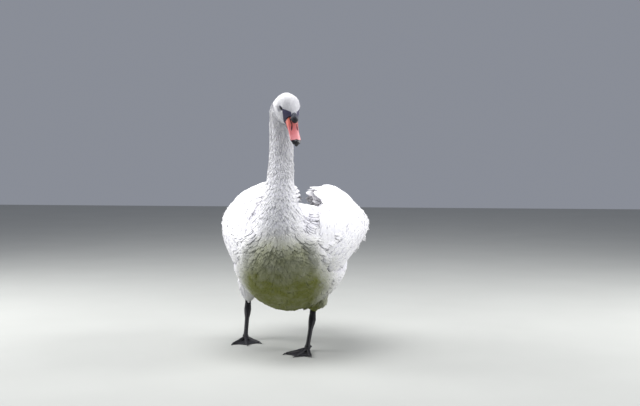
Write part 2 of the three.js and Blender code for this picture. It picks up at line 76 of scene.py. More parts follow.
# ------------------------------------------------------------------ skin
# The skin that carries all the plumage: one closed surface over trunk, neck, head, thighs and the arms of the
# wings. It lies inside the bird's outline by the depth of its feathers, and swells into lids round the eyes.
# Lengths in this script are metres, and rows of numbers that shape the bird are in millimetres.
MM = 0.001
FLESH_NODES = ("trunk", "neck_lower", "neck_upper", "thigh_left", "thigh_right")
FLESH_PARTS = ("trunk", "neck", "neck", "thigh", "thigh", "head")
BIRD_SHIFT = np.array([-7.0, -3.0, 0.0])
LEAN = math.radians(3.5)
LEAN_LEVEL = 300.0
HEAD_TURN = math.radians(37)
HEAD_BOW = math.radians(56)
HEAD_CENTRE = np.array([29.0, -318.0, 809.0]) + BIRD_SHIFT
EYE_LEVEL = 5.0
SKIN_GRAIN = 0.0054
SEAM_FILL = 0.0004

# The head's own directions: along the bill, to the left and over the crown.
LEVEL_AHEAD = np.array([math.sin(HEAD_TURN), -math.cos(HEAD_TURN), 0])
STRAIGHT_UP = np.array([0, 0, 1])
HEAD_AXES = np.array([
    LEVEL_AHEAD * math.cos(HEAD_BOW) - STRAIGHT_UP * math.sin(HEAD_BOW),
    [math.cos(HEAD_TURN), math.sin(HEAD_TURN), 0],
    LEVEL_AHEAD * math.sin(HEAD_BOW) + STRAIGHT_UP * math.cos(HEAD_BOW),
])

# Rows along the head, in mm: distance ahead of the eyes, half width, top, widest level, bottom. A point
# closes the form behind the first row and ahead of the last.
HEAD_ROWS = [
    [-57, 20, 17, -1, -18],
    [-48, 33, 28, -3, -30],
    [-34, 40, 34, -6, -38],
    [-19, 41.5, 35, -9, -42],
    [-4, 40, 32.5, -13, -43.5],
    [10, 36.5, 27.5, -16, -42.5],
    [23, 31, 22, -17, -39.5],
    [34, 24, 16, -15, -34.5],
    [41, 18, 9.5, -12, -29],
]
HEAD_BACK = (-61, 0, -1)
HEAD_FRONT = (42, 0, -10)

# The left wing's inner face as cuts across the bird, wrist to rear, in mm: y, then x and z of the lower edge,
# the widest point, the shoulder of the arch, its crest and the inner edge.
WING_ROWS = [
    [-318, 112, 318, 128, 350, 122, 382, 110, 404, 96, 420],
    [-262, 144, 302, 170, 356, 156, 412, 132, 444, 106, 462],
    [-196, 166, 298, 200, 374, 178, 444, 144, 474, 108, 488],
    [-126, 175, 302, 222, 392, 190, 469, 144, 500, 104, 508],
    [-54, 173, 312, 236, 408, 197, 492, 140, 524, 96, 526],
    [18, 162, 326, 241, 421, 190, 503, 124, 543, 76, 542],
    [88, 146, 340, 235, 426, 178, 505, 108, 546, 56, 536],
    [154, 126, 353, 212, 425, 158, 497, 92, 534, 42, 520],
    [216, 106, 364, 178, 422, 130, 478, 78, 508, 36, 496],
    [270, 84, 376, 136, 415, 98, 453, 60, 476, 32, 467],
]
EDGE_STEP = 0.05
REAR_STEP = 0.04

# The depth of the coat in mm at these heights in metres, and on the head.
COAT_LEVELS = (0.14, 0.2, 0.3, 0.5, 0.6, 0.72, 0.8)
COAT_DEPTHS = (2.5, 4, 5, 4.5, 2.8, 2, 1.5)
HEAD_COAT_DEPTH = 1.0


def blend(low, high, value):
    """0 below low, 1 above high, and a smooth rise between."""
    share = np.clip((value - low) / (high - low), 0, 1)
    return share * share * (3 - 2 * share)


def unit(vectors):
    """The vectors at a length of 1."""
    return vectors / np.maximum(np.linalg.norm(vectors, axis=-1, keepdims=True), 1e-9)


def through(rows, share):
    """A smooth curve through evenly spaced rows, at each share from 0 to 1 of the way along. Each share may
    have rows of its own."""
    share = np.atleast_1d(np.asarray(share, float))
    rows = np.asarray(rows, float)
    if rows.ndim == 2:
        rows = np.broadcast_to(rows, (len(share), *rows.shape))
    last = rows.shape[1] - 1
    at = np.clip(share, 0, 1) * last
    whole = np.minimum(at.astype(int), last - 1)
    t = (at - whole)[:, None]
    each = np.arange(len(share))
    a, b, c, d = (rows[each, np.clip(whole + step, 0, last)] for step in (-1, 0, 1, 2))
    return b + 0.5 * t * (c - a + t * (2 * a - 5 * b + 4 * c - d + t * (3 * (b - c) + d - a)))


def lean(points):
    """From the upright body's millimetres to the leaning bird's metres."""
    x, y, z = np.moveaxis(np.asarray(points, float), -1, 0)
    across = x * math.cos(LEAN) + (z - LEAN_LEVEL) * math.sin(LEAN)
    up = (z - LEAN_LEVEL) * math.cos(LEAN) - x * math.sin(LEAN) + LEAN_LEVEL
    return (np.stack([across, y, up], -1) + BIRD_SHIFT) * MM


def unlean(points):
    """From the leaning bird's metres to the upright body's millimetres."""
    across, y, up = np.moveaxis(np.asarray(points, float) / MM - BIRD_SHIFT, -1, 0)
    x = across * math.cos(LEAN) - (up - LEAN_LEVEL) * math.sin(LEAN)
    z = across * math.sin(LEAN) + (up - LEAN_LEVEL) * math.cos(LEAN) + LEAN_LEVEL
    return np.stack([x, y, z], -1)


def from_head(points):
    """From the head's own millimetres to metres in the bird."""
    return (np.asarray(points, float) @ HEAD_AXES + HEAD_CENTRE) * MM


def to_head(points):
    """From metres in the bird to the head's own millimetres."""
    return (np.asarray(points, float) / MM - HEAD_CENTRE) @ HEAD_AXES.T


def wing_face(u, v):
    """Points of the left wing's inner face: u from wrist to rear and v from lower to inner edge, both 0 to 1.
    It runs straight on past an edge."""
    u = np.atleast_1d(np.asarray(u, float))
    v = np.atleast_1d(np.asarray(v, float))
    rows = through(WING_ROWS, u)
    corners = rows[:, 1:].reshape(-1, 5, 2)
    edge = np.clip(v, 0, 1)
    on_edge = through(corners, edge)
    inside = through(corners, np.abs(edge - EDGE_STEP))
    run = (np.abs(v - edge) / EDGE_STEP)[:, None]
    place = on_edge + (on_edge - inside) * run
    made = np.stack([place[:, 0], rows[:, 0], place[:, 1]], -1)
    past = u > 1
    if past.any():
        before = wing_face(np.full(past.sum(), 1 - REAR_STEP), v[past])
        made[past] += (made[past] - before) * ((u[past] - 1) / REAR_STEP)[:, None]
    return made


def wing_out(u, v):
    """The way out of the left wing's face."""
    u = np.minimum(np.atleast_1d(np.asarray(u, float)), 1)
    along = wing_face(np.minimum(u + 0.02, 1), v) - wing_face(np.minimum(u, 0.98) - 0.02, v)
    around = wing_face(u, v + 0.03) - wing_face(u, v - 0.03)
    return unit(np.cross(along, around))


def grid_faces(rows, columns, wrap=False, start=0):
    """The four-sided faces between rows of points. With wrap, each row closes on itself."""
    faces = []
    for i in range(rows - 1):
        for j in range(columns if wrap else columns - 1):
            k = (j + 1) % columns
            a = start + i * columns
            faces.append((a + j, a + k, a + columns + k, a + columns + j))
    return faces


def closed_tube(rings, start=None, end=None):
    """Points and faces of a closed skin over rings of points, shape (rings, sides, 3). A point closes each
    end: the one that is given, or the middle of the end ring."""
    count, sides = rings.shape[:2]
    start = rings[0].mean(0) if start is None else start
    end = rings[-1].mean(0) if end is None else end
    points = np.concatenate([rings.reshape(-1, 3), [start, end]])
    first, last = count * sides, count * sides + 1
    faces = grid_faces(count, sides, wrap=True)
    faces += [(first, (j + 1) % sides, j) for j in range(sides)]
    base = (count - 1) * sides
    faces += [(last, base + j, base + (j + 1) % sides) for j in range(sides)]
    return points, faces


def oval_rings(rows, steps, sides, squareness=2.0, grow=0.0):
    """Rings across the head, from rows along it: ovals at a squareness of 2, and fuller above that."""
    x, half, top, middle, bottom = through(rows, np.linspace(0, 1, steps + 1)).T[:, :, None]
    angle = np.linspace(0, 2 * np.pi, sides, endpoint=False)[None, :]
    across = np.sign(np.cos(angle)) * np.abs(np.cos(angle)) ** (2 / squareness)
    rise = np.sign(np.sin(angle)) * np.abs(np.sin(angle)) ** (2 / squareness)
    reach = np.where(np.sin(angle) > 0, top - middle + grow, middle - bottom + grow)
    return np.stack([x + 0 * angle, (half + grow) * across, middle + reach * rise], -1)


def mesh_of(name, points, faces):
    """A mesh from points, in metres, and faces."""
    made = bpy.data.meshes.new(name)
    made.from_pydata(np.asarray(points).tolist(), [], faces)
    made.validate()
    return made


def keep_numbers(mesh, name, kind, values, domain="POINT"):
    """Stores one value for each point or corner on the mesh."""
    layer = mesh.attributes.new(name, kind, domain)
    field = {"FLOAT": "value", "FLOAT_VECTOR": "vector", "FLOAT2": "vector"}[kind]
    layer.data.foreach_set(field, np.asarray(values, np.float32).ravel())


def outward(mesh):
    """Merges doubles and turns every face outwards."""
    shape = bmesh.new()
    shape.from_mesh(mesh)
    bmesh.ops.remove_doubles(shape, verts=shape.verts, dist=1e-6)
    bmesh.ops.recalc_face_normals(shape, faces=shape.faces)
    shape.to_mesh(mesh)
    shape.free()
    return mesh


def head_mesh(name, points, faces, **numbers):
    """A closed form given in the head's own millimetres, with any numbers that it keeps at its points."""
    mesh = mesh_of(name, from_head(points), faces)
    for label, values in numbers.items():
        keep_numbers(mesh, label, "FLOAT", values)
    return outward(mesh)


def wing_mesh(name, rings, side):
    """A closed form over rings on the left wing, on side 1, or its mirror image on side -1."""
    points, faces = closed_tube(rings)
    return outward(mesh_of(name, lean(points * [side, 1, 1]), faces))


def show(name, mesh):
    """Puts a mesh in the scene as an object at the origin."""
    made = bpy.data.objects.new(name, mesh)
    bpy.context.scene.collection.objects.link(made)
    return made


def settled(piece):
    """The piece with its modifiers applied, as a plain mesh."""
    bpy.context.view_layer.update()
    graph = bpy.context.evaluated_depsgraph_get()
    done = bpy.data.meshes.new_from_object(piece.evaluated_get(graph))
    piece.modifiers.clear()
    old = piece.data
    piece.data = done
    bpy.data.meshes.remove(old)
    return piece


def numbers_of(items, field, width, kind=np.float32):
    """One field of a mesh's points, edges, corners or faces, with this many numbers for each of them."""
    made = np.empty(len(items) * width, kind)
    items.foreach_get(field, made)
    return made.reshape(-1, width)


def points_of(mesh):
    """The mesh's points as rows of x, y and z, in metres."""
    return numbers_of(mesh.vertices, "co", 3).astype(float)


def outs_of(mesh):
    """The way out of the mesh at each point."""
    return numbers_of(mesh.vertex_normals, "vector", 3).astype(float)


def centres_of(mesh):
    """The middles of the mesh's faces, in metres."""
    return numbers_of(mesh.polygons, "center", 3).astype(float)


def set_points(mesh, points):
    """Moves the mesh's points to these places, in metres."""
    mesh.vertices.foreach_set("co", np.asarray(points, np.float32).ravel())
    mesh.update()


def smooth_shaded(mesh):
    """Shades every face of the mesh as part of one smooth surface."""
    mesh.polygons.foreach_set("use_smooth", np.ones(len(mesh.polygons), bool))


def evened(mesh, values, rounds, hold=None, pull=0.5):
    """Draws the values at each point, shape (points, any), towards its neighbours' values, except where hold
    keeps them."""
    one, two = numbers_of(mesh.edges, "vertices", 2, np.int32).T
    made = np.array(values, float)
    size = len(made)
    count = np.maximum(np.bincount(one, minlength=size) + np.bincount(two, minlength=size), 1)
    free = pull if hold is None else pull * (1 - hold)
    for _ in range(rounds):
        for k in range(made.shape[1]):
            total = np.bincount(one, made[two, k], size) + np.bincount(two, made[one, k], size)
            made[:, k] += (total / count - made[:, k]) * free
    return made


def relaxed(mesh, rounds, hold=None):
    """Evens the mesh itself out. hold, from 0 to 1, keeps points still."""
    set_points(mesh, evened(mesh, points_of(mesh), rounds, hold))


def divide(mesh, chosen):
    """Halves every edge that runs between two chosen points."""
    shape = bmesh.new()
    shape.from_mesh(mesh)
    between = [edge for edge in shape.edges if all(chosen[point.index] for point in edge.verts)]
    bmesh.ops.subdivide_edges(shape, edges=between, cuts=1, use_grid_fill=True)
    shape.to_mesh(mesh)
    shape.free()


def joined(name, parts):
    """One object from several meshes, each left as it is inside."""
    shape = bmesh.new()
    for part in parts:
        shape.from_mesh(part)
    made = bpy.data.meshes.new(name)
    shape.to_mesh(made)
    shape.free()
    return show(name, made)


def remeshed(piece, grain):
    """The piece as one skin round all that it holds, in squares of this size."""
    one_skin = piece.modifiers.new("one_skin", "REMESH")
    one_skin.mode = "VOXEL"
    one_skin.voxel_size = grain
    return settled(piece)


def tree_of(mesh):
    """The mesh as a tree for finding its nearest places."""
    return BVHTree.FromPolygons([v.co for v in mesh.vertices], [p.vertices for p in mesh.polygons])


def nearest_faces(tree, points):
    """The number of the tree's face that is nearest to each point."""
    return np.array([tree.find_nearest(Vector(p))[2] for p in points])


def swollen_node(name):
    """A node's form with its doubles merged, swollen by a hair, so that it joins its neighbours."""
    part = outward(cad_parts[name].data.copy())
    set_points(part, points_of(part) + outs_of(part) * SEAM_FILL)
    return part


def coat_depth(points):
    """How deep the feathers are over each point, in metres: least on the face, most on the trunk."""
    depth = np.interp(points[:, 2], COAT_LEVELS, COAT_DEPTHS)
    near_head = blend(70, 48, np.linalg.norm(to_head(points) - [-6, 0, -4], axis=1))
    return (depth * (1 - near_head) + HEAD_COAT_DEPTH * near_head) * MM


def face_hold(points):
    """1 on the face, which keeps its form while the nape and neck are smoothed, falling to 0 behind it."""
    at = to_head(points)
    near = blend(68, 48, np.linalg.norm(at - [12, 0, -6], axis=1))
    return near * blend(-28, -2, at[:, 0]) * (0.3 + 0.7 * blend(-38, -25, at[:, 2]))


flesh = [swollen_node(node) for node in FLESH_NODES]
head_rings = oval_rings(HEAD_ROWS, steps=40, sides=48)
flesh.append(head_mesh("head_form", *closed_tube(head_rings, HEAD_BACK, HEAD_FRONT)))
flesh_parts = np.repeat(FLESH_PARTS, [len(part.polygons) for part in flesh])

body = joined("body_form", flesh)
flesh_tree = tree_of(body.data)
remeshed(body, SKIN_GRAIN)
body_parts = flesh_parts[nearest_faces(flesh_tree, centres_of(body.data))]
relaxed(body.data, 30, hold=face_hold(points_of(body.data)))
body_points = points_of(body.data)
set_points(body.data, body_points - outs_of(body.data) * coat_depth(body_points)[:, None])


def wing_slab(us, vs, under, over):
    """Rings round a slab on the left wing's face. under and over are its two faces' depths at vs, in mm."""
    ring_v = np.concatenate([vs, vs[::-1]])
    depth = np.concatenate([under, over[::-1]])
    u = np.repeat(us, len(ring_v))
    v = np.tile(ring_v, len(us))
    rings = wing_face(u, v) + wing_out(u, v) * np.tile(depth, len(us))[:, None]
    return rings.reshape(len(us), -1, 3)


def wing_arm(side):
    """The arm of one wing: a long flat muscle that tapers towards its upper edge."""
    vs = np.linspace(0.0, 0.58, 20)
    taper = np.interp(vs, [0, 0.3, 0.58], [1, 1, 0.45])
    return wing_mesh("wing_arm", wing_slab(np.linspace(0.0, 0.93, 36), vs, -6 * taper, 4.5 * taper), side)


# The flank over a thigh, as rings in mm: rise, width against the thigh's own, and shift towards the middle.
FLANK_RINGS = [(-22, 0.6, 2), (-6, 0.86, 3), (14, 1.02, 9), (40, 1.1, 18), (66, 0.98, 32), (86, 0.6, 42)]
BODY_MIDDLE_X = -7


def flank(node):
    """Soft flesh between a thigh and the body: the thigh's own form, grown upwards and wider."""
    low, high = np.array(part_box(node)) / MM
    middle, half = (low + high) / 2, (high - low) / 2
    level = high[2] - 20
    inwards = np.sign(BODY_MIDDLE_X - middle[0])
    turn = np.linspace(0, 2 * np.pi, 24, endpoint=False)
    rings = []
    for rise, grow, across in FLANK_RINGS:
        x = middle[0] + inwards * across + half[0] * grow * np.cos(turn)
        y = middle[1] + half[1] * grow * np.sin(turn)
        rings.append(np.stack([x, y, level + rise + 0 * turn], -1))
    points, faces = closed_tube(np.array(rings))
    return outward(mesh_of("flank", points * MM, faces))


# The shoulder runs back over this share of the wing. Its outer face has these depths in mm at these places
# across the wing, and its inner face lies deep in the body.
SHOULDER_REACH = 0.48
SHOULDER_PLACES = np.array([-0.16, -0.06, 0.02, 0.12, 0.3, 0.5, 0.7, 0.86, 0.96, 1.04, 1.14])
SHOULDER_OUTER = np.array([-20, -9, -2, 0, 0, 0, 0, -1, -2, -5, -15])
SHOULDER_INNER = -58.0


def wing_shoulder(side):
    """The shoulder: it fills the hollow between wing and body, and slopes off past the wing's edges."""
    vs = SHOULDER_PLACES
    ring_v = np.concatenate([vs[::-1], vs])
    rings = []
    for u in np.linspace(0, SHOULDER_REACH, 12):
        fade = u / SHOULDER_REACH
        outer = SHOULDER_OUTER - 4 * fade - 24 * fade ** 3 * blend(0.5, 1, vs)
        depth = np.concatenate([np.full(len(vs), SHOULDER_INNER), outer])
        ring = np.full(len(ring_v), u)
        rings.append(wing_face(ring, ring_v) + wing_out(ring, ring_v) * depth[:, None])
    ahead = rings[0] * [0.9, 1, 1] + [0, -30, -4]
    rings = np.array([ahead * [0.9, 1, 1] + [0, -12, -4], ahead, *rings])
    return wing_mesh("wing_shoulder", rings, side)


COLLAR_MIDDLE = np.array([85.0, -222.0, 424.0])
COLLAR_RADII = np.array([50.0, 84.0, 50.0])


def collar_fill(side):
    """Soft flesh in the hollow between the base of the neck and the front of one wing: a long ball."""
    turn = np.linspace(0, 2 * np.pi, 24, endpoint=False)
    steep = np.linspace(-1.35, 1.35, 11)[:, None]
    level = np.cos(steep)
    ball = np.stack([level * np.cos(turn), level * np.sin(turn), np.sin(steep) + 0 * turn], -1)
    return wing_mesh("collar_fill", COLLAR_MIDDLE + ball * COLLAR_RADII, side)


trunk_tree = tree_of(body.data)
added = [("wing_left", wing_arm(1)), ("wing_right", wing_arm(-1))]
added += [("shoulder", form(side)) for form in (wing_shoulder, collar_fill) for side in (1, -1)]
added += [("thigh", flank(node)) for node in ("thigh_left", "thigh_right")]
part_names = np.concatenate([body_parts] + [np.full(len(form.polygons), name) for name, form in added])
skin = joined("skin", [body.data] + [form for _, form in added])
bpy.data.objects.remove(body)
part_tree = tree_of(skin.data)
remeshed(skin, SKIN_GRAIN)
relaxed(skin.data, 8, hold=face_hold(points_of(skin.data)))

# The joins of neck, shoulder and wing are smoothed the most.
SHOULDER_JOIN = (112, -300, 385)
COLLAR_JOIN = (90, -250, 446)
upright = unlean(points_of(skin.data))
upright[:, 0] = np.abs(upright[:, 0])
from_shoulder = np.linalg.norm((upright - SHOULDER_JOIN) * [1, 0.9, 0.8], axis=1)
from_collar = np.linalg.norm((upright - COLLAR_JOIN) * [1, 0.7, 1.1], axis=1)
relaxed(skin.data, 45, hold=1 - np.maximum(blend(105, 60, from_shoulder), blend(60, 30, from_collar)))

# The head gets a mesh four times as fine, drawn onto its true form.
HEAD_REACH = 0.078
for reach in (HEAD_REACH, 0.94 * HEAD_REACH):
    divide(skin.data, np.linalg.norm(points_of(skin.data) - from_head([-4, 0, -4]), axis=1) < reach)

fine_rings = oval_rings(HEAD_ROWS, steps=60, sides=64, grow=-HEAD_COAT_DEPTH)
head_tree = tree_of(head_mesh("fine_head", *closed_tube(fine_rings, [-59, 0, -1], [41, 0, -11])))
skin_points = points_of(skin.data)
for i in np.nonzero(np.linalg.norm(to_head(skin_points), axis=1) < 80)[0]:
    target, _, _, away = head_tree.find_nearest(Vector(skin_points[i]))
    ahead, _, above = to_head(skin_points[i])
    share = float(blend(7 * MM, 4 * MM, away) * blend(-40, -12, ahead) * blend(-40, -28, above))
    skin_points[i] += (np.array(target) - skin_points[i]) * share
set_points(skin.data, skin_points)
in_head = to_head(points_of(skin.data))
kept = 0.92 * blend(-30, -8, in_head[:, 0]) * blend(-40, -30, in_head[:, 2])
relaxed(skin.data, 44, hold=np.maximum(blend(92, 98, np.linalg.norm(in_head, axis=1)), kept))

# The face gets one more division, so that the edges of its bare skin are fine.
divide(skin.data, (in_head[:, 0] > -2) & (np.linalg.norm(in_head, axis=1) < 54) & (in_head[:, 2] > -30))

LID_RING = 1.13
LID_HEIGHT = 0.8
EYE_OPENING = (6.2, 5.4)
HORN_EDGE = ([-30, -22, -12, 0, 6, 12], [42, 39.5, 36.5, 33, 32.5, 36])


def eye_ring(at):
    """How far each head point is from an eye's opening: 1 on its rim. The opening is pointed fore and aft."""
    across = np.abs(at[:, 0]) / EYE_OPENING[0]
    up = np.abs(at[:, 2] - EYE_LEVEL) / EYE_OPENING[1]
    return (across ** 1.8 + up ** 1.8) ** (1 / 1.8)


def shape_face(at):
    """Hollows the face beside each eye, sinks the skin behind the eyeball and rolls its rim into lids under a
    faint brow. It also draws the skin in under the rear edge of the bill's horn."""
    side = np.sign(at[:, 1])
    aside = np.abs(at[:, 1])
    hollow = 1 - ((at[:, 0] - 7) / 15.5) ** 2 - ((at[:, 2] - EYE_LEVEL + 1) / 12) ** 2
    limit = 36 - 6.6 * np.sqrt(np.maximum(hollow, 0))
    sunk = np.where((hollow > 0) & (aside > 20), np.minimum(aside, limit + 0.5), aside)
    aside = aside + (sunk - aside) * blend(0, 0.25, hollow)
    ring = eye_ring(at)
    beside = blend(18, 22, aside)
    brow = np.exp(-(((at[:, 2] - EYE_LEVEL - 8.5) / 3) ** 2) - ((at[:, 0] - 1) / 11) ** 2)
    aside = aside + (LID_HEIGHT * np.exp(-(((ring - LID_RING) / 0.15) ** 2)) + 1.2 * brow) * beside
    aside = aside - 6 * blend(1.05, 0.85, ring) * beside
    under_horn = blend(-3, 0.5, at[:, 0] - np.interp(at[:, 2], *HORN_EDGE)) * blend(14, 10, at[:, 2])
    narrow = np.interp(at[:, 2], [-30, -20, -11, 0, 10], [11, 16.5, 17.3, 14.8, 8])
    aside = aside + (np.minimum(aside, narrow) - aside) * under_horn
    return np.stack([at[:, 0], side * aside, at[:, 2]], -1)


skin_points = points_of(skin.data)
in_head = to_head(skin_points)
on_face = np.linalg.norm(in_head, axis=1) < 60
skin_points[on_face] = from_head(shape_face(in_head[on_face]))
set_points(skin.data, skin_points)
smooth_shaded(skin.data)


def bare_lore(at):
    """1 on the bare black skin between eye and bill, in the head's own millimetres, and 0 in the feathers."""
    x, aside, z = at[:, 0], np.abs(at[:, 1]), at[:, 2]
    upper = np.interp(x, [2, 6, 12, 24, 33, 44], [8, 11, 15, 19.5, 17, 16])
    lower = np.interp(x, [3, 8, 12, 18, 24, 30, 36, 44], [4, 4, 3.5, 0, -5, -12, -21, -29])
    patch = np.minimum(upper - z, z - lower)
    patch = np.minimum(patch, (x - 3) * 0.8)
    collar = (x - np.interp(z, [-32, -22, -12, 0, 10, 18], [39, 36.5, 33, 31, 29.5, 31])) * 0.8
    rim = (1.28 - eye_ring(at)) * 6
    tail = 1.0 - np.abs(z - (5 - x * 0.42)) * 0.9 + np.where((x < -5) & (x > -12.5), 0, -5)
    beside = blend(6, 11, aside)
    face = np.maximum(np.maximum(patch, rim), tail) * beside + (beside - 1) * 3
    return blend(-0.5, 0.5, np.maximum(face, collar))


def belly_stain_and_shade(points):
    """How much the plumage is painted olive, from 0 to 1: most between the legs. The olive is partly a real
    stain of mud and grass, and partly painted shade and painted green light reflected from grass.
    """
    at = unlean(points)
    x, y, z = at.T
    half = np.interp(z, [250, 310, 372, 440], [136, 125, 96, 64])
    sides = blend(1, 0, (np.abs(x - 8) - half + 50) / 100)
    belly = (0.84 * blend(465, 372, z) + 0.16 * blend(350, 265, z)) * sides * blend(320, 150, y)
    thighs = 0.6 * blend(265, 190, z) * blend(190, 110, np.abs(x + 4))
    return np.clip(np.maximum(belly, thighs), 0, 1)


skin_points = points_of(skin.data)
in_head = to_head(skin_points)
near_face = np.linalg.norm(in_head, axis=1) < 66
lore = np.where(near_face, bare_lore(in_head), 0)
keep_numbers(skin.data, "bare", "FLOAT", lore)
keep_numbers(skin.data, "stain_and_shade", "FLOAT", belly_stain_and_shade(skin_points))


def paint(hex_code):
    """An sRGB hex colour as linear red, green, blue and alpha."""
    parts = [int(hex_code[i:i + 2], 16) / 255 for i in (1, 3, 5)]
    linear = [c / 12.92 if c <= 0.04045 else ((c + 0.055) / 1.055) ** 2.4 for c in parts]
    return (*linear, 1.0)


def set_inputs(tree, node, inputs):
    """Sets a node's inputs by name or number, or links them where they are given a socket."""
    for name, value in inputs.items():
        if isinstance(value, bpy.types.NodeSocket):
            tree.links.new(value, node.inputs[name])
        else:
            node.inputs[name].default_value = value


def add_node(tree, kind, inputs=None, give=0, **settings):
    """Adds a node with its settings and inputs. It returns one output, by name or number, or the node itself
    where give is None."""
    made = tree.nodes.new(kind)
    for name, value in settings.items():
        setattr(made, name, value)
    set_inputs(tree, made, inputs or {})
    return made if give is None else made.outputs[give]


def new_material(name):
    """An empty material and its node tree, with the shader ready."""
    made = bpy.data.materials.new(name)
    made.use_nodes = True
    return made, made.node_tree, made.node_tree.nodes["Principled BSDF"]


# Down over skin. White down scatters light like matt cotton, with faint clumps a few millimetres across. On
# the lores it gives way to bare black skin, finely creased like leather and half glossy, with a painted
# bluish sky reflection spread over its creases.
DOWN_WHITE = paint("#F2F1F2")
DOWN_SHADE = paint("#DDDBE2")
# Olive for the belly: partly a real stain of mud and grass, partly painted shade and painted green light
# reflected from grass.
OLIVE_STAIN_AND_SHADE = paint("#686C2C")
LORE_BLACK = paint("#282634")
LORE_SKY_REFLECTION = paint("#5C587A")
DOWN_ROUGHNESS = 0.85
LORE_ROUGHNESS = 0.42
DOWN_CLUMPS = 1 / (6 * MM)
LEATHER_GRAIN = 1 / (0.9 * MM)

# A mix of colours takes its factor and two colours at these sockets, and gives the mixed one at the last.
FACTOR, COLOUR_A, COLOUR_B, MIXED = 0, 6, 7, 2

down_skin, tree, shader = new_material("down_skin")
place = add_node(tree, "ShaderNodeTexCoord", give="Object")
clumps = add_node(tree, "ShaderNodeTexNoise", {"Vector": place, "Scale": DOWN_CLUMPS, "Detail": 3.0})
stain_and_shade = add_node(tree, "ShaderNodeAttribute", give="Fac", attribute_name="stain_and_shade")
bare = add_node(tree, "ShaderNodeAttribute", give="Fac", attribute_name="bare")
creases = add_node(tree, "ShaderNodeTexVoronoi", {"Vector": place, "Scale": LEATHER_GRAIN})
# Painted reflection: the lores' black is mixed with a bluish sky reflection in a pattern of creases.
black = add_node(tree, "ShaderNodeMix", {FACTOR: creases, COLOUR_A: LORE_BLACK, COLOUR_B: LORE_SKY_REFLECTION},
                 give=MIXED, data_type="RGBA")
white = add_node(tree, "ShaderNodeMix", {FACTOR: clumps, COLOUR_A: DOWN_WHITE, COLOUR_B: DOWN_SHADE},
                 give=MIXED, data_type="RGBA")
# The belly's olive is mixed in here: partly real stain, partly painted shade and painted reflected grass
# light.
stained_and_shaded = add_node(tree, "ShaderNodeMix", {FACTOR: stain_and_shade, COLOUR_A: white, COLOUR_B: OLIVE_STAIN_AND_SHADE},
                   give=MIXED, data_type="RGBA")
colour = add_node(tree, "ShaderNodeMix", {FACTOR: bare, COLOUR_A: stained_and_shaded, COLOUR_B: black},
                  give=MIXED, data_type="RGBA")
roughness = add_node(tree, "ShaderNodeMapRange",
                     {"Value": bare, "To Min": DOWN_ROUGHNESS, "To Max": LORE_ROUGHNESS})
height = add_node(tree, "ShaderNodeMath", {0: clumps, 1: creases}, operation="ADD")
bump = add_node(tree, "ShaderNodeBump", {"Height": height, "Strength": 0.35, "Distance": 0.6 * MM})
set_inputs(tree, shader, {"Base Color": colour, "Roughness": roughness, "Normal": bump})
skin.data.materials.append(down_skin)
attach(skin, "root")
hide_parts(*FLESH_NODES, "head")

# ------------------------------------------------------------------ contour feathers
# The small feathers that clothe head, neck, breast, belly, back, thighs and the wings' fronts. Each is a thin
# closed vane rooted in the skin, tilted a little and overlapping those behind it, like tiles.
VANE_KINDS = 4
VANE_CAMBER = 0.02
CONTOUR_THICK = 0.012
BAKE_PATCH = 0.003

# White contour feather: keratin full of air, so it is matt and bright, with a random grey tone from feather
# to feather and painted shade towards each vane's root, where the feather before it lies over it. Its
# shading leans towards the skin's own form, because down blurs its edges. Real barbs are about 0.3 mm apart,
# and here there are 14 to a feather's length, so that they show. An olive tint lies on it in smears: partly a
# real stain of mud and grass, partly painted shade and painted green light reflected from grass.
FEATHER_WHITE = paint("#F8F7F6")
FEATHER_SHADE = paint("#E0DEE8")
BARBS = 14
BARB_SLANT = -0.8
DOWNY_SOFTNESS = 0.85
STAIN_AND_SHADE_SMEARS = 1 / (30 * MM)

plumage, tree, shader = new_material("white_contour_feather")
stain_and_shade = add_node(tree, "ShaderNodeAttribute", give="Fac", attribute_name="stain_and_shade")
tint = add_node(tree, "ShaderNodeAttribute", give="Fac", attribute_name="tint")
vane = add_node(tree, "ShaderNodeAttribute", give="Vector", attribute_name="vane")
on_vane = add_node(tree, "ShaderNodeSeparateXYZ", {"Vector": vane}, give=None).outputs
aside = add_node(tree, "ShaderNodeMath", {0: on_vane["X"], 1: 0.5}, operation="SUBTRACT")
aside = add_node(tree, "ShaderNodeMath", {0: aside}, operation="ABSOLUTE")
swept = add_node(tree, "ShaderNodeMath", {0: aside, 1: BARB_SLANT, 2: on_vane["Y"]}, operation="MULTIPLY_ADD")
barbs = add_node(tree, "ShaderNodeMath", {0: swept, 1: 2 * math.pi * BARBS}, operation="MULTIPLY")
barbs = add_node(tree, "ShaderNodeMath", {0: barbs}, operation="SINE")
# Painted shade: each vane turns greyer towards its root, where the feather before it overlaps it; tint adds a
# random grey.
root_shade = add_node(tree, "ShaderNodeMapRange", {"Value": on_vane["Y"], "From Min": 0.35, "From Max": 0.9,
                                                   "To Min": 0.55, "To Max": 0.0})
shade = add_node(tree, "ShaderNodeMath", {0: tint, 1: 0.3, 2: root_shade},
                 operation="MULTIPLY_ADD", use_clamp=True)
white = add_node(tree, "ShaderNodeMix", {FACTOR: shade, COLOUR_A: FEATHER_WHITE, COLOUR_B: FEATHER_SHADE},
                 give=MIXED, data_type="RGBA")
place = add_node(tree, "ShaderNodeTexCoord", give="Object")
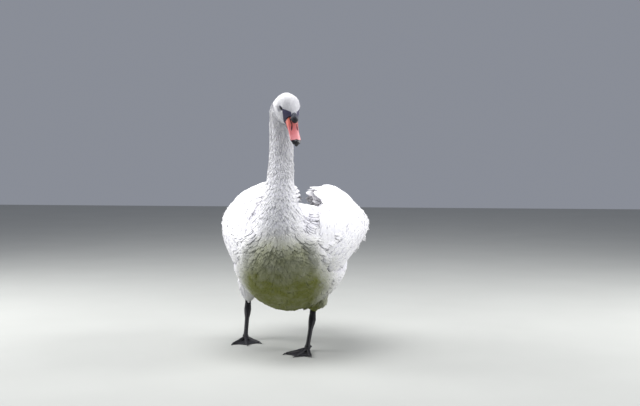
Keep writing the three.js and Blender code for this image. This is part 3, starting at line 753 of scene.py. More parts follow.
# The belly's olive, in smears: partly real stain, partly painted shade and painted reflected grass light.
smears = add_node(tree, "ShaderNodeTexNoise", {"Vector": place, "Scale": STAIN_AND_SHADE_SMEARS, "Detail": 3.0})
patchy = add_node(tree, "ShaderNodeMath", {0: smears, 1: 0.3, 2: 0.82}, operation="MULTIPLY_ADD")
stained_and_shaded = add_node(tree, "ShaderNodeMath", {0: stain_and_shade, 1: patchy}, operation="MULTIPLY", use_clamp=True)
colour = add_node(tree, "ShaderNodeMix", {FACTOR: stained_and_shaded, COLOUR_A: white, COLOUR_B: OLIVE_STAIN_AND_SHADE},
                  give=MIXED, data_type="RGBA")
out = add_node(tree, "ShaderNodeAttribute", give="Vector", attribute_name="out")
facing = add_node(tree, "ShaderNodeNewGeometry", give="Normal")
agree = add_node(tree, "ShaderNodeVectorMath", {0: out, 1: facing}, give="Value", operation="DOT_PRODUCT")
soften = add_node(tree, "ShaderNodeMath", {0: agree, 1: DOWNY_SOFTNESS}, operation="MULTIPLY", use_clamp=True)
towards = add_node(tree, "ShaderNodeMix", {0: soften, 4: facing, 5: out}, give=1, data_type="VECTOR")
towards = add_node(tree, "ShaderNodeVectorMath", {0: towards}, operation="NORMALIZE")
bump = add_node(tree, "ShaderNodeBump",
                {"Height": barbs, "Strength": 0.15, "Distance": 0.3 * MM, "Normal": towards})
set_inputs(tree, shader, {"Base Color": colour, "Normal": bump, "Roughness": 0.78, "Sheen Weight": 0.06,
                          "Specular IOR Level": 0.2})


def vane_form(name, steps, columns, bow, fray, chance):
    """One closed vane of length 1 and width 1: root at the origin, tip along y, upper face to z. It bows down
    towards its tip, and fray roughens its edge and tip."""
    s = 1 - (1 - np.linspace(0, 1, steps + 1)) ** 1.6
    width = np.sqrt(np.clip(1 - ((s - 0.5) / 0.5) ** 2, 0, 1))
    width = np.where(s < 0.5, 0.35 + 0.65 * np.sin(np.pi * np.minimum(s, 0.5)), width)
    width[-1] = 0.14
    c = np.linspace(-1, 1, columns)
    ragged = 1 + fray * chance.uniform(-1, 1, (steps + 1, columns))
    ragged[:, 1:-1] = 1
    x = 0.5 * width[:, None] * c[None, :] * ragged
    tip = fray * chance.uniform(-0.5, 0.5, (steps + 1, columns)) * blend(0.7, 1, s)[:, None]
    y = s[:, None] * (1 - 0.05 * c[None, :] ** 2 * s[:, None]) + tip
    z = -bow * s[:, None] ** 2 - VANE_CAMBER * c[None, :] ** 2 * width[:, None]
    body = CONTOUR_THICK * (1 - c[None, :] ** 2) * np.minimum(1, 4 * (1 - s[:, None])) * np.ones_like(x)
    body[0] = 0
    body[-1] = 0
    top = np.stack([x, y, z], -1).reshape(-1, 3)
    under = np.stack([x, y, z - body], -1).reshape(-1, 3)
    faces = grid_faces(steps + 1, columns)
    count = len(top)
    faces += [tuple(count + i for i in reversed(face)) for face in faces]
    mesh = mesh_of(name, np.concatenate([top, under]), faces)
    flat = np.stack([0.5 + 0.5 * np.broadcast_to(c, x.shape), np.broadcast_to(s[:, None], x.shape)], -1)
    keep_numbers(mesh, "vane", "FLOAT2", np.concatenate([flat.reshape(-1, 2)] * 2))
    return show(name, outward(mesh))


SIZE_RANGE = (0.85, 1.15)
YAW_SHARE = 1.6
ROOTS_TO_PICK_FROM = 4.0


def plumage_tree():
    """Scatters feathers over a skin, each tilted and turned by chance from the skin's own lie."""
    made = bpy.data.node_groups.new("feathers_over_skin", "GeometryNodeTree")
    sizes = {name: "NodeSocketFloat" for name in ("Spacing", "Length", "Width", "Lift", "Ruffle")}
    named_inputs = {"Skin": "NodeSocketGeometry", **sizes, "Seed": "NodeSocketInt",
                    "Vanes": "NodeSocketCollection", "Finish": "NodeSocketMaterial"}
    for name, kind in named_inputs.items():
        made.interface.new_socket(name, in_out="INPUT", socket_type=kind)
    made.interface.new_socket("Feathers", in_out="OUTPUT", socket_type="NodeSocketGeometry")
    given = add_node(made, "NodeGroupInput", give=None).outputs
    spacing, lift, ruffle = given["Spacing"], given["Lift"], given["Ruffle"]
    on_skin = {}
    for kind, names in (("FLOAT", ("cover", "span")), ("FLOAT_VECTOR", ("out", "lie", "vane", "plan"))):
        for name in names:
            on_skin[name] = add_node(made, "GeometryNodeInputNamedAttribute", {"Name": name},
                                     give="Attribute", data_type=kind)

    # The roots, spaced apart wherever the skin is covered.
    area = add_node(made, "ShaderNodeMath", {0: spacing, 1: -2.0}, operation="POWER")
    densest = add_node(made, "ShaderNodeMath", {0: area, 1: ROOTS_TO_PICK_FROM}, operation="MULTIPLY")
    roots = add_node(made, "GeometryNodeDistributePointsOnFaces",
                     {"Mesh": given["Skin"], "Distance Min": spacing, "Density Max": densest,
                      "Density Factor": on_skin["cover"], "Seed": given["Seed"]},
                     give="Points", distribute_method="POISSON")

    # What chance gives each feather, by a seed of its own: the lowest and highest value of each draw.
    low = add_node(made, "ShaderNodeMath", {0: ruffle, 1: -1.0}, operation="MULTIPLY")
    yaw_high = add_node(made, "ShaderNodeMath", {0: ruffle, 1: YAW_SHARE}, operation="MULTIPLY")
    yaw_low = add_node(made, "ShaderNodeMath", {0: ruffle, 1: -YAW_SHARE}, operation="MULTIPLY")
    lift_low = add_node(made, "ShaderNodeMath", {0: lift, 1: low}, operation="ADD")
    lift_high = add_node(made, "ShaderNodeMath", {0: lift, 1: ruffle}, operation="ADD")
    draws = {"lift": ("FLOAT", lift_low, lift_high), "roll": ("FLOAT", low, ruffle),
             "yaw": ("FLOAT", yaw_low, yaw_high), "size": ("FLOAT", *SIZE_RANGE),
             "kind": ("INT", 0, VANE_KINDS - 1), "tint": ("FLOAT", 0.0, 1.0)}
    chance = {}
    for number, (name, (kind, lowest, highest)) in enumerate(draws.items(), start=1):
        low_socket, high_socket, drawn = {"FLOAT": (2, 3, 1), "INT": (4, 5, 2)}[kind]
        seed = add_node(made, "ShaderNodeMath", {0: given["Seed"], 1: float(number)}, operation="ADD")
        chance[name] = add_node(made, "FunctionNodeRandomValue",
                                {low_socket: lowest, high_socket: highest, "Seed": seed},
                                give=drawn, data_type=kind)

    # One feather of a chance kind on each root, upper face out and tip along the lie.
    lying = add_node(made, "FunctionNodeAxesToRotation", {0: on_skin["out"], 1: on_skin["lie"]},
                     primary_axis="Z", secondary_axis="Y")
    tilt = add_node(made, "ShaderNodeCombineXYZ",
                    {"X": chance["lift"], "Y": chance["roll"], "Z": chance["yaw"]})
    turn = add_node(made, "FunctionNodeEulerToRotation", {0: tilt})
    laid = add_node(made, "FunctionNodeRotateRotation", {0: lying, 1: turn}, rotation_space="LOCAL")
    size = add_node(made, "ShaderNodeMath", {0: on_skin["span"], 1: chance["size"]}, operation="MULTIPLY")
    wide = add_node(made, "ShaderNodeMath", {0: size, 1: given["Width"]}, operation="MULTIPLY")
    long = add_node(made, "ShaderNodeMath", {0: size, 1: given["Length"]}, operation="MULTIPLY")
    scale = add_node(made, "ShaderNodeCombineXYZ", {"X": wide, "Y": long, "Z": long})
    kinds = add_node(made, "GeometryNodeCollectionInfo",
                     {"Collection": given["Vanes"], "Separate Children": True, "Reset Children": True})
    laid_out = add_node(made, "GeometryNodeInstanceOnPoints",
                        {"Points": roots, "Instance": kinds, "Pick Instance": True,
                         "Instance Index": chance["kind"], "Rotation": laid, "Scale": scale})
    tinted = add_node(made, "GeometryNodeStoreNamedAttribute",
                      {"Geometry": laid_out, "Name": "tint", "Value": chance["tint"]},
                      data_type="FLOAT", domain="INSTANCE")
    real = add_node(made, "GeometryNodeRealizeInstances", {"Geometry": tinted})

    # The bake map: each feather is a small patch at its root's place on the skin's own unwrap.
    centred = add_node(made, "ShaderNodeVectorMath", {0: on_skin["vane"], 1: (0.5, 0.5, 0.0)},
                       operation="SUBTRACT")
    patch = add_node(made, "ShaderNodeVectorMath", {0: centred, "Scale": BAKE_PATCH}, operation="SCALE")
    plan = add_node(made, "ShaderNodeVectorMath", {0: patch, 1: on_skin["plan"]}, operation="ADD")
    mapped = add_node(made, "GeometryNodeStoreNamedAttribute",
                      {"Geometry": real, "Name": "OFBake", "Value": plan},
                      data_type="FLOAT2", domain="CORNER")
    smooth = add_node(made, "GeometryNodeSetShadeSmooth", {"Geometry": mapped})
    done = add_node(made, "GeometryNodeSetMaterial", {"Geometry": smooth, "Material": given["Finish"]})
    add_node(made, "NodeGroupOutput", {"Feathers": done}, give=None)
    return made


feathers_over_skin = plumage_tree()


def vane_family(name, steps, columns, bow, fray, seed):
    """A collection of a few kinds of one feather, to pick from."""
    chance = np.random.default_rng(seed)
    family = bpy.data.collections.new(name)
    for kind in range(VANE_KINDS):
        made = vane_form(f"{name}_{kind}", steps, columns, bow, fray, chance)
        bpy.context.scene.collection.objects.unlink(made)
        family.objects.link(made)
    return family


face_tuft = vane_family("face_tuft", steps=3, columns=3, bow=0.068, fray=0.07, seed=11)
neck_tuft = vane_family("neck_tuft", steps=3, columns=3, bow=0.075, fray=0.08, seed=13)
body_vane = vane_family("body_vane", steps=4, columns=5, bow=0.08, fray=0.07, seed=12)

FLOW_BODY = np.array([0.0, 1.0, -0.35])
FLOW_DOWN = np.array([0.0, 0.25, -1.0])
NECK_FLARE = (0.46, 0.6)
NECK_MIDDLE = (-0.011, -0.27)
THROAT = (4, -46)

face_centres = centres_of(skin.data)
skin_parts = part_names[nearest_faces(part_tree, face_centres)]
skin_outs = outs_of(skin.data)
is_head = (skin_parts == "head") | (np.linalg.norm(to_head(face_centres), axis=1) < 50)
is_neck = (skin_parts == "neck") & ~is_head
is_thigh = skin_parts == "thigh"
is_trunk = (skin_parts == "trunk") | (skin_parts == "shoulder")


def at_corners(chosen):
    """1 at the points of the chosen faces of the skin, 0 at the others."""
    made = np.zeros((len(skin_points), 1))
    for i in np.nonzero(chosen)[0]:
        made[list(skin.data.polygons[i].vertices)] = 1
    return made


def lie_of(points, on_head):
    """Which way the feathers lie: back over the face and crown, round the nape, down the neck and breast, and
    back along the body."""
    at = to_head(points)
    behind = np.minimum(at[:, 0] - THROAT[0], 0)[:, None]
    above = np.maximum(at[:, 2] - THROAT[1], 6)[:, None]
    turning = unit(behind * HEAD_AXES[2] - above * HEAD_AXES[0])
    on_neck = blend(NECK_FLARE[0], NECK_FLARE[1], points[:, 2])
    on_thigh = blend(0.27, 0.2, points[:, 2]) * blend(0.02, 0.06, np.abs(points[:, 0] + 0.06))
    flow = FLOW_BODY + np.zeros_like(points)
    flow[:, 2] -= 0.3 * blend(0.05, -0.25, points[:, 1])
    from_neck = (points - [*NECK_MIDDLE, 0]) * [1, 1, 0]
    flow += unit(from_neck) * (1.2 * blend(0.22, 0.1, np.linalg.norm(from_neck, axis=1)))[:, None]
    down = np.maximum(on_neck, on_thigh)[:, None]
    flow = flow * (1 - down) + FLOW_DOWN * down
    return flow * (1 - on_head) + turning * on_head


skin_lie = lie_of(skin_points, evened(skin.data, at_corners(is_head), 40))


def lumps(points, size):
    """A soft rise and fall over the points, about -1 to 1, with lumps of this size in metres."""
    chance = np.random.default_rng(5)
    made = np.zeros(len(points))
    for _ in range(9):
        way = unit(chance.normal(size=3))
        made += np.sin(points @ way * (math.pi / size) * chance.uniform(0.75, 1.35) + chance.uniform(0, 6.3))
    return np.maximum(made / 3, -0.2)


def across_plane(vectors, outs):
    """The vectors laid flat on the skin."""
    return unit(vectors - outs * (vectors * outs).sum(-1, keepdims=True))


def round_plan(points, middle, low, high):
    """An unwrap round an upright axis: turn and height of each point, both from 0 to 1."""
    turn = np.arctan2(points[:, 0] - middle[0], -(points[:, 1] - middle[1])) / (2 * np.pi) + 0.5
    return np.stack([turn, (points[:, 2] - low) / (high - low)], -1)


def long_plan(points, middle, near, far):
    """An unwrap round an axis that runs along the body."""
    turn = np.arctan2(points[:, 0] - middle[0], points[:, 2] - middle[1]) / (2 * np.pi) + 0.5
    return np.stack([turn, (points[:, 1] - near) / (far - near)], -1)


def wing_places(points, side):
    """u, v and height over the arm, in mm, of the place on a wing that is nearest to each point."""
    at = unlean(points) * [side, 1, 1]
    us = np.linspace(0, 1, 60)
    vs = np.linspace(-0.1, 1.1, 50)
    u, v = (each.ravel() for each in np.meshgrid(us, vs, indexing="ij"))
    grid = wing_face(u, v) + wing_out(u, v) * 6
    lookup = KDTree(len(grid))
    for i, place in enumerate(grid):
        lookup.insert(place, i)
    lookup.balance()
    best = np.array([lookup.find(place)[1] for place in at])
    return u[best], v[best], ((at - grid[best]) * wing_out(u[best], v[best])).sum(-1)


MAP_MARGIN = 0.02


def coat(name, chosen, plan, spacing, length, width, lift, seed, vanes, span=None, cover=None, lie=None,
         ruffle=0.1, lump_size=0.02, lump_height=0.0):
    """Feathers over the chosen faces of the skin, as one piece, on a bed with soft swellings. plan unwraps
    the bed, span and cover size and thin the feathers from place to place, and lie is their way."""
    polygons = [tuple(skin.data.polygons[i].vertices) for i in np.nonzero(chosen)[0]]
    used = np.unique(np.concatenate([np.array(face) for face in polygons]))
    renumber = {old: new for new, old in enumerate(used)}
    outs = skin_outs[used]
    at = skin_points[used] + outs * (lumps(skin_points[used], lump_size) * lump_height)[:, None]
    base = mesh_of(name + "_bed", at, [tuple(renumber[i] for i in face) for face in polygons])
    keep_numbers(base, "out", "FLOAT_VECTOR", outs)
    flow = (skin_lie if lie is None else lie)[used]
    keep_numbers(base, "lie", "FLOAT_VECTOR", across_plane(flow, outs))
    keep_numbers(base, "span", "FLOAT", np.ones(len(at)) if span is None else span(at))
    bald = np.where(np.linalg.norm(to_head(at), axis=1) < 66, bare_lore(to_head(at)), 0)
    keep_numbers(base, "cover", "FLOAT", (1 - blend(0.2, 0.6, bald)) * (1 if cover is None else cover(at)))
    keep_numbers(base, "stain_and_shade", "FLOAT", belly_stain_and_shade(at))

    # A face that the seam of the unwrap cuts through stays whole on one side of it.
    corner = numbers_of(base.loops, "vertex_index", 1, np.int32)[:, 0]
    flat = plan(at)[corner]
    starts = numbers_of(base.polygons, "loop_start", 1, np.int32)[:, 0]
    first = np.repeat(flat[starts, 0], np.diff(np.append(starts, len(corner))))
    flat[:, 0] -= np.round(flat[:, 0] - first)
    keep_numbers(base, "plan", "FLOAT2", MAP_MARGIN + (1 - 2 * MAP_MARGIN) * flat, "CORNER")

    piece = show(name, base)
    grown = piece.modifiers.new("feathers", "NODES")
    grown.node_group = feathers_over_skin
    settings = {"Spacing": spacing, "Length": length, "Width": width, "Lift": lift, "Ruffle": ruffle,
                "Seed": seed, "Vanes": vanes, "Finish": plumage}
    for socket in feathers_over_skin.interface.items_tree:
        if socket.item_type == "SOCKET" and socket.name in settings:
            grown[socket.identifier] = settings[socket.name]
    settled(piece)
    for spare in ("lie", "span", "cover", "plan"):
        if spare in piece.data.attributes:
            piece.data.attributes.remove(piece.data.attributes[spare])
    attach(piece, "root")
    return piece


# Where the skin's parts meet and end, in metres.
HIGH_NECK_FROM = 0.6
BREAST_BEHIND = -0.16
HEAD_MIDDLE = (0.022, -0.32)
TRUNK_MIDDLE = (-0.007, 0.31)
THIGH_MIDDLE = (-0.06, 0.0)


def face_span(points):
    """Shorter feathers beside the bill and eyes, longer at the back of the head."""
    return np.interp(to_head(points)[:, 0], [-50, -20, 10, 34], [1.2, 1.1, 0.85, 0.65])


def span_by_height(points, levels, spans):
    """The feathers' size against the piece's own, from their roots' height in metres."""
    return np.interp(points[:, 2], levels, spans)


def off_the_back(points):
    """1 where body feathers show, 0 under the scapulars and the arched wings."""
    x, y, z = unlean(points).T
    return 1 - blend(425, 445, z) * blend(-255, -230, y) * blend(150, 120, y) * blend(172, 150, np.abs(x))


high_neck = is_neck & (face_centres[:, 2] > HIGH_NECK_FROM)
low_neck = is_neck & ~high_neck
on_breast = is_trunk & (face_centres[:, 1] < BREAST_BEHIND)
trunk_plan = partial(long_plan, middle=TRUNK_MIDDLE, near=-0.41, far=0.29)
coat("head_feathers", is_head, partial(round_plan, middle=HEAD_MIDDLE, low=0.74, high=0.87),
     spacing=0.00135, length=0.009, width=0.0023, lift=0.105, seed=21, vanes=face_tuft,
     span=face_span, ruffle=0.05)
coat("neck_feathers_upper", high_neck, partial(round_plan, middle=NECK_MIDDLE, low=0.58, high=0.84),
     spacing=0.0022, length=0.0155, width=0.0034, lift=0.15, seed=22, vanes=neck_tuft,
     span=partial(span_by_height, levels=[0.6, 0.72, 0.8], spans=[1.1, 0.9, 0.7]),
     ruffle=0.09, lump_size=0.009, lump_height=0.0007)
coat("neck_feathers_lower", low_neck, partial(round_plan, middle=NECK_MIDDLE, low=0.36, high=0.62),
     spacing=0.0043, length=0.021, width=0.0085, lift=0.158, seed=23, vanes=body_vane,
     span=partial(span_by_height, levels=[0.4, 0.47, 0.6], spans=[1.2, 1.05, 0.75]),
     ruffle=0.07, lump_size=0.011, lump_height=0.0009)
coat("breast_feathers", on_breast, trunk_plan,
     spacing=0.0062, length=0.034, width=0.016, lift=0.14, seed=24, vanes=body_vane,
     span=partial(span_by_height, levels=[0.33, 0.4, 0.46], spans=[1.0, 0.9, 0.8]),
     ruffle=0.045, lump_size=0.017, lump_height=0.0017)
coat("body_feathers", is_trunk & ~on_breast, trunk_plan,
     spacing=0.0084, length=0.038, width=0.019, lift=0.13, seed=25, vanes=body_vane,
     cover=off_the_back, ruffle=0.045, lump_size=0.02, lump_height=0.0012)
coat("thigh_feathers", is_thigh, partial(round_plan, middle=THIGH_MIDDLE, low=0.1, high=0.3),
     spacing=0.0047, length=0.02, width=0.009, lift=0.24, seed=26, vanes=body_vane,
     ruffle=0.1, lump_size=0.012, lump_height=0.001)

# ------------------------------------------------------------------ wing coverts, the small ones
# Each wing's leading part carries small rounded coverts, rooted in the skin of the arm. They point back and
# up the arch of the wing, like tiles on a barrel.
COVERT_REACH = 0.52
COVERT_BACKWARD = 0.85
COVERT_UPWARD = 0.55
WINGS = ((1, "wing_left"), (-1, "wing_right"))

skin_v = np.zeros(len(skin_points))
skin_rise = np.zeros(len(skin_points))
wing_lie = np.zeros_like(skin_points)
for side, wing_name in WINGS:
    chosen = np.nonzero(skin_parts == wing_name)[0]
    used = np.unique(np.concatenate([np.array(skin.data.polygons[i].vertices) for i in chosen]))
    u, v, rise = wing_places(skin_points[used], side)
    skin_v[used], skin_rise[used] = v, rise
    along = wing_face(u + 0.01, v) - wing_face(u - 0.01, v)
    around = wing_face(u, v + 0.01) - wing_face(u, v - 0.01)
    lie = (unit(along) * COVERT_BACKWARD + unit(around) * COVERT_UPWARD) * [side, 1, 1]
    wing_lie[used] = lean(lie) - lean(np.zeros(3))


def over_faces(values):
    """The mean of the points' values over each face of the skin."""
    return np.array([values[list(face.vertices)].mean() for face in skin.data.polygons])


def wing_plan(points, side):
    """The wing's own unwrap: u and v."""
    return np.stack(wing_places(points, side)[:2], -1)


face_v = over_faces(skin_v)
face_rise = over_faces(skin_rise)
for (side, wing_name), seed in zip(WINGS, (31, 32)):
    chosen = (skin_parts == wing_name) & (face_v < COVERT_REACH) & ((face_rise > -7) | (face_v < 0.06))
    coat(wing_name + "_small_coverts", chosen, partial(wing_plan, side=side),
         spacing=0.0074, length=0.032, width=0.0165, lift=0.13, seed=seed, vanes=body_vane,
         lie=wing_lie, ruffle=0.05, lump_size=0.016, lump_height=0.0008)

# ------------------------------------------------------------------ wing feathers, the large ones
# Median and greater coverts, secondaries and the broad tertials that stand up over the back. Each is a stiff
# vane with a raised shaft, laid along the wing's own curve, every row over the one behind it.
VANE_STEPS = 15
VANE_COLUMNS = np.array([-1, -0.72, -0.38, -0.08, 0, 0.08, 0.38, 0.72, 1])
VANE_THICK = 0.5
VANE_ROLL = 0.05
SHAFT_RISE = 0.5
PATH_STEPS = 9


def long_vane(path, outs, half, chance, point=0.34, camber=0.07, split=0.4, shift=0.0):
    """One large feather in mm: points of its upper and then its under face, their flat places, and its way up
    there. It follows a path, narrows over its last share, point, and its edges may be split."""
    s = np.linspace(0, 1, VANE_STEPS)
    s = 1 - (1 - s) ** 1.25
    at = np.stack([np.interp(s, np.linspace(0, 1, len(path)), path[:, axis]) for axis in range(3)], -1)
    up = unit(np.stack([np.interp(s, np.linspace(0, 1, len(outs)), outs[:, axis]) for axis in range(3)], -1))
    along = unit(np.gradient(at, axis=0))
    side = unit(np.cross(along, up))
    up = np.cross(side, along)
    width = np.where(s < 0.3, 0.35 + 0.65 * np.sin(np.pi / 2 * np.minimum(s / 0.3, 1)), 1)
    width *= (1 - np.clip((s - 1 + point) / point, 0, 1) ** 2.2) ** 0.6
    width[-1] = 0.06
    c = VANE_COLUMNS[None, :]
    ragged = 1 + 0.05 * chance.uniform(-1, 1, (VANE_STEPS, len(VANE_COLUMNS)))
    for edge in (0, -1):
        if chance.random() < split:
            ragged[chance.integers(5, VANE_STEPS - 2), edge] *= chance.uniform(0.62, 0.85)
    ragged[:, 2:-2] = 1
    across = half * width[:, None] * (c + shift * (1 - c ** 2)) * ragged
    rise = -camber * half * width[:, None] * c ** 2 + VANE_ROLL * half * width[:, None] * c
    rise = rise + SHAFT_RISE * (np.abs(c) < 0.05) * np.linspace(1, 0.3, VANE_STEPS)[:, None]
    swept = -0.1 * half * c ** 2 * width[:, None] * blend(0.5, 1, s)[:, None]
    top = at[:, None] + side[:, None] * across[..., None] + up[:, None] * rise[..., None]
    top += along[:, None] * swept[..., None]
    thick = VANE_THICK * (1 + 1.5 * (np.abs(c) < 0.1)) * (np.abs(c) < 1) * np.ones((VANE_STEPS, 1))
    thick[[0, -1]] = 0
    under = top - up[:, None] * thick[..., None]
    flat = np.stack(np.broadcast_arrays((c + 1) / 2, s[:, None]), -1)
    ups = np.repeat(up, len(VANE_COLUMNS), axis=0)
    points = np.concatenate([top.reshape(-1, 3), under.reshape(-1, 3)])
    return points, np.tile(flat.reshape(-1, 2), (2, 1)), np.tile(ups, (2, 1))


def in_place(vane, side):
    """A vane of the upright left side, in metres on the leaning bird, or its mirror image."""
    points, flat, ups = vane
    return lean(points * [side, 1, 1]), flat, unit(lean(ups * [side, 1, 1]) - lean(np.zeros(3)))


def feather_piece(name, feathers, side=1):
    """Joins long feathers into one piece with its bake map and tints. Each feather is a vane and its root's
    place on the map."""
    count = VANE_STEPS * len(VANE_COLUMNS)
    one = grid_faces(VANE_STEPS, len(VANE_COLUMNS))
    one += [tuple(count + i for i in reversed(face)) for face in one]
    faces = [tuple(i + 2 * count * k for i in face) for k in range(len(feathers)) for face in one]
    vanes = [in_place(vane, side) for vane, _ in feathers]
    points, flats, ups = (np.concatenate(each) for each in zip(*vanes))
    mesh = mesh_of(name, points, faces)
    chance = np.random.default_rng(len(feathers))
    roots = np.repeat(np.array([root for _, root in feathers], float), 2 * count, axis=0)
    plan = np.c_[roots + BAKE_PATCH * (flats - 0.5), np.zeros(len(flats))]
    keep_numbers(mesh, "vane", "FLOAT2", flats)
    keep_numbers(mesh, "out", "FLOAT_VECTOR", ups)
    keep_numbers(mesh, "tint", "FLOAT", np.repeat(chance.random(len(feathers)), 2 * count))
    keep_numbers(mesh, "stain_and_shade", "FLOAT", np.zeros(len(points)))
    keep_numbers(mesh, "root_plan", "FLOAT_VECTOR", plan)
    outward(mesh)
    plan = numbers_of(mesh.attributes["root_plan"].data, "vector", 3)
    corner = numbers_of(mesh.loops, "vertex_index", 1, np.int32)[:, 0]
    mesh.attributes.remove(mesh.attributes["root_plan"])
    keep_numbers(mesh, "OFBake", "FLOAT2", plan[corner, :2], "CORNER")
    smooth_shaded(mesh)
    mesh.materials.append(plumage)
    piece = show(name, mesh)
    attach(piece, "root")
    return piece


# The rows on each wing, the deepest first: how many feathers, then from the front feather to the rear one
# their roots' u and v, their tips' u and v, and half their width in mm. Then come the lift at root and tip in
# mm, how far the tips sway in u and v, how far they stray up or down in mm, and how the vane differs.
WING_FEATHER_ROWS = [
    (12, (0.30, 0.98), (0.16, 0.20), (0.62, 1.12), (0.24, 0.34), (19, 19), (2, 4), 0.015, 1.5, {}),
    (9, (0.72, 0.72), (0.12, 0.80), (1.12, 1.14), (0.20, 0.93), (19, 19), (2, 5), 0.02, 1.5, {}),
    (11, (0.32, 0.86), (0.70, 0.74), (0.44, 1.0), (1.22, 1.15), (18, 20), (0.5, 9), 0.045, 5,
     {"point": 0.4, "split": 0.8}),
    (20, (0.02, 0.80), (0.58, 0.60), (0.16, 0.98), (1.0, 1.05), (15, 20), (2, 11), 0.03, 6, {}),
    (23, (0.0, 0.84), (0.50, 0.54), (0.10, 0.99), (0.82, 0.88), (13, 18), (2.5, 10.5), 0.015, 1.5, {}),
    (25, (0.0, 0.86), (0.43, 0.46), (0.07, 0.97), (0.70, 0.75), (11.5, 16), (2.5, 10), 0.012, 1, {}),
    (28, (0.0, 0.88), (0.37, 0.39), (0.05, 0.96), (0.60, 0.64), (10, 14), (2.5, 9.5), 0.01, 0.8, {}),
]
ROOT_STRAY = 0.4
FRONT_SHARE = (0, 0.12)
FRONT_LIFT = (0.45, 1)


def wing_row(count, root_u, root_v, tip_u, tip_v, half, lifts, sway, stray_lift, form, chance):
    """A row of feathers on the left wing's face. They lie lower at the very front of the wing."""
    made = []
    for i in range(count):
        share = i / (count - 1)
        steps = np.linspace(0, 1, PATH_STEPS)
        here = [np.interp(share, (0, 1), pair) for pair in (root_u, root_v, tip_u, tip_v)]
        stray = sway * chance.uniform(-1, 1, 2)
        u = here[0] * (1 - steps) + (here[2] + stray[0]) * steps
        v = here[1] * (1 - steps) + (here[3] + stray[1]) * steps
        out = wing_out(u, np.minimum(v, 1.0))
        lift = np.interp(steps, (0, 1), lifts) + chance.uniform(-ROOT_STRAY, ROOT_STRAY)
        lift = lift + stray_lift * chance.uniform(-1, 1) * steps ** 2
        lift = lift * np.interp(u, FRONT_SHARE, FRONT_LIFT)
        path = wing_face(u, v) + out * lift[:, None]
        width = np.interp(share, (0, 1), half)
        made.append((long_vane(path, out, width, chance, **form), (0.05 + 0.8 * u[0], 0.1 + 0.8 * v[0])))
    return made


# The shoulder's rows, the top one first: how far ahead of the wing's edge they start, how far over it they
# reach as u, and their tips' lift in mm. Their roots are sunk in the shoulder.
SHOULDER_ROWS = [(0, 0.085, 6.5), (-11, 0.06, 5), (-22, 0.035, 3.5)]
SHOULDER_COUNT = 20
SHOULDER_SUNK = 17


def shoulder_feathers(chance):
    """Short broad feathers from the shoulder back over the front edge of the wing, in staggered rows."""
    made = []
    steps = np.linspace(0, 1, PATH_STEPS)
    for row, (start, reach, lift) in enumerate(SHOULDER_ROWS):
        for v in np.linspace(0.36 + 0.012 * row, 0.82, SHOULDER_COUNT):
            u = np.linspace(0, reach, PATH_STEPS)
            vs = v + np.linspace(0, 0.04, PATH_STEPS)
            out = wing_out(u, np.minimum(vs, 1.0))
            rise = -SHOULDER_SUNK + (lift + SHOULDER_SUNK + chance.uniform(-1, 1)) * steps ** 0.6
            path = wing_face(u, vs) + out * rise[:, None]
            path[:, 1] += start * (1 - steps) ** 1.5
            made.append((long_vane(path, out, 9, chance, point=0.5, split=0.1), (0.02, 0.1 + 0.8 * v)))
    return made


# Where the longest inner feathers of each wing end, in mm across and up. They stand one behind another.
CROSSING_TIPS = {1: [(30, 524), (52, 511), (54, 498), (78, 489), (76, 540), (62, 532)],
                 -1: [(2, 540), (10, 529), (14, 516), (13, 502), (8, 489), (-14, 545)]}
CROSSING_LEVEL = 46
CROSSING_STEP = 5
CROSSING_ROOT_X = 134


def crossing_feathers(side, chance):
    """The longest inner feathers, whose white tips reach in over the back. Their upper faces look ahead."""
    made = []
    steps = np.linspace(0, 1, PATH_STEPS)[:, None]
    for i, (x, z) in enumerate(CROSSING_TIPS[side]):
        tip = unlean(np.array([x, CROSSING_LEVEL - CROSSING_STEP * i, z]) * MM) * [side, 1, 1]
        root = np.array([CROSSING_ROOT_X, CROSSING_LEVEL + 16 - CROSSING_STEP * i, tip[2] - 12])
        path = root * (1 - steps) + tip * steps + np.array([0, -2, 5]) * np.sin(np.pi * steps)
        outs = np.tile(unit(np.array([-0.1, -0.8, 0.6])), (PATH_STEPS, 1))
        made.append((long_vane(path, outs, 15, chance, point=0.3, split=0.6), (0.9, 0.2 + 0.1 * i)))
    return made


LINING_THICK = 1.8


def wing_lining(side, name):
    """The soft lining behind the arm, which closes the wing between its upper and under feathers."""
    vs = np.linspace(0.3, 0.93, 18)
    slab = wing_slab(np.linspace(0.02, 0.93, 36), vs, np.zeros(len(vs)), np.full(len(vs), LINING_THICK))
    lining = show(name, wing_mesh(name, slab, side))
    keep_numbers(lining.data, "bare", "FLOAT", np.zeros(len(lining.data.vertices)))
    smooth_shaded(lining.data)
    lining.data.materials.append(down_skin)
    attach(lining, "root")


for side, wing_name in WINGS:
    wing_lining(side, wing_name + "_lining")
    chance = np.random.default_rng(40 + side)
    feathers = []
    for row in WING_FEATHER_ROWS:
        feathers += wing_row(*row, chance)
    feathers += shoulder_feathers(np.random.default_rng(50 + side))
    feathers += crossing_feathers(side, np.random.default_rng(80 + side))
    piece = feather_piece(wing_name + "_feathers", feathers, side)
    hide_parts(wing_name)

# ------------------------------------------------------------------ scapulars
# The long feathers that grow at the shoulders and lie flat over the back between the wings. They are stiff
# vanes, laid on the trunk's skin in staggered rows, with each row's tips over the roots of the next.
SCAPULAR_ROWS = 13
SCAPULAR_COLUMNS = 5
SCAPULAR_REACH = (-262, 168)
SCAPULAR_LENGTH = 84
SCAPULAR_APART = 27
BACK_LEVEL = 380


def on_back(x, y):
    """The highest place on the trunk's skin at x and y of the upright body, in mm."""
    start = Vector(lean([x, y, 640]))
    down = Vector(lean([x, y, 0])) - start
    hit = trunk_tree.ray_cast(start, down.normalized())
    return unlean(np.array(hit[0])) if hit[0] else None


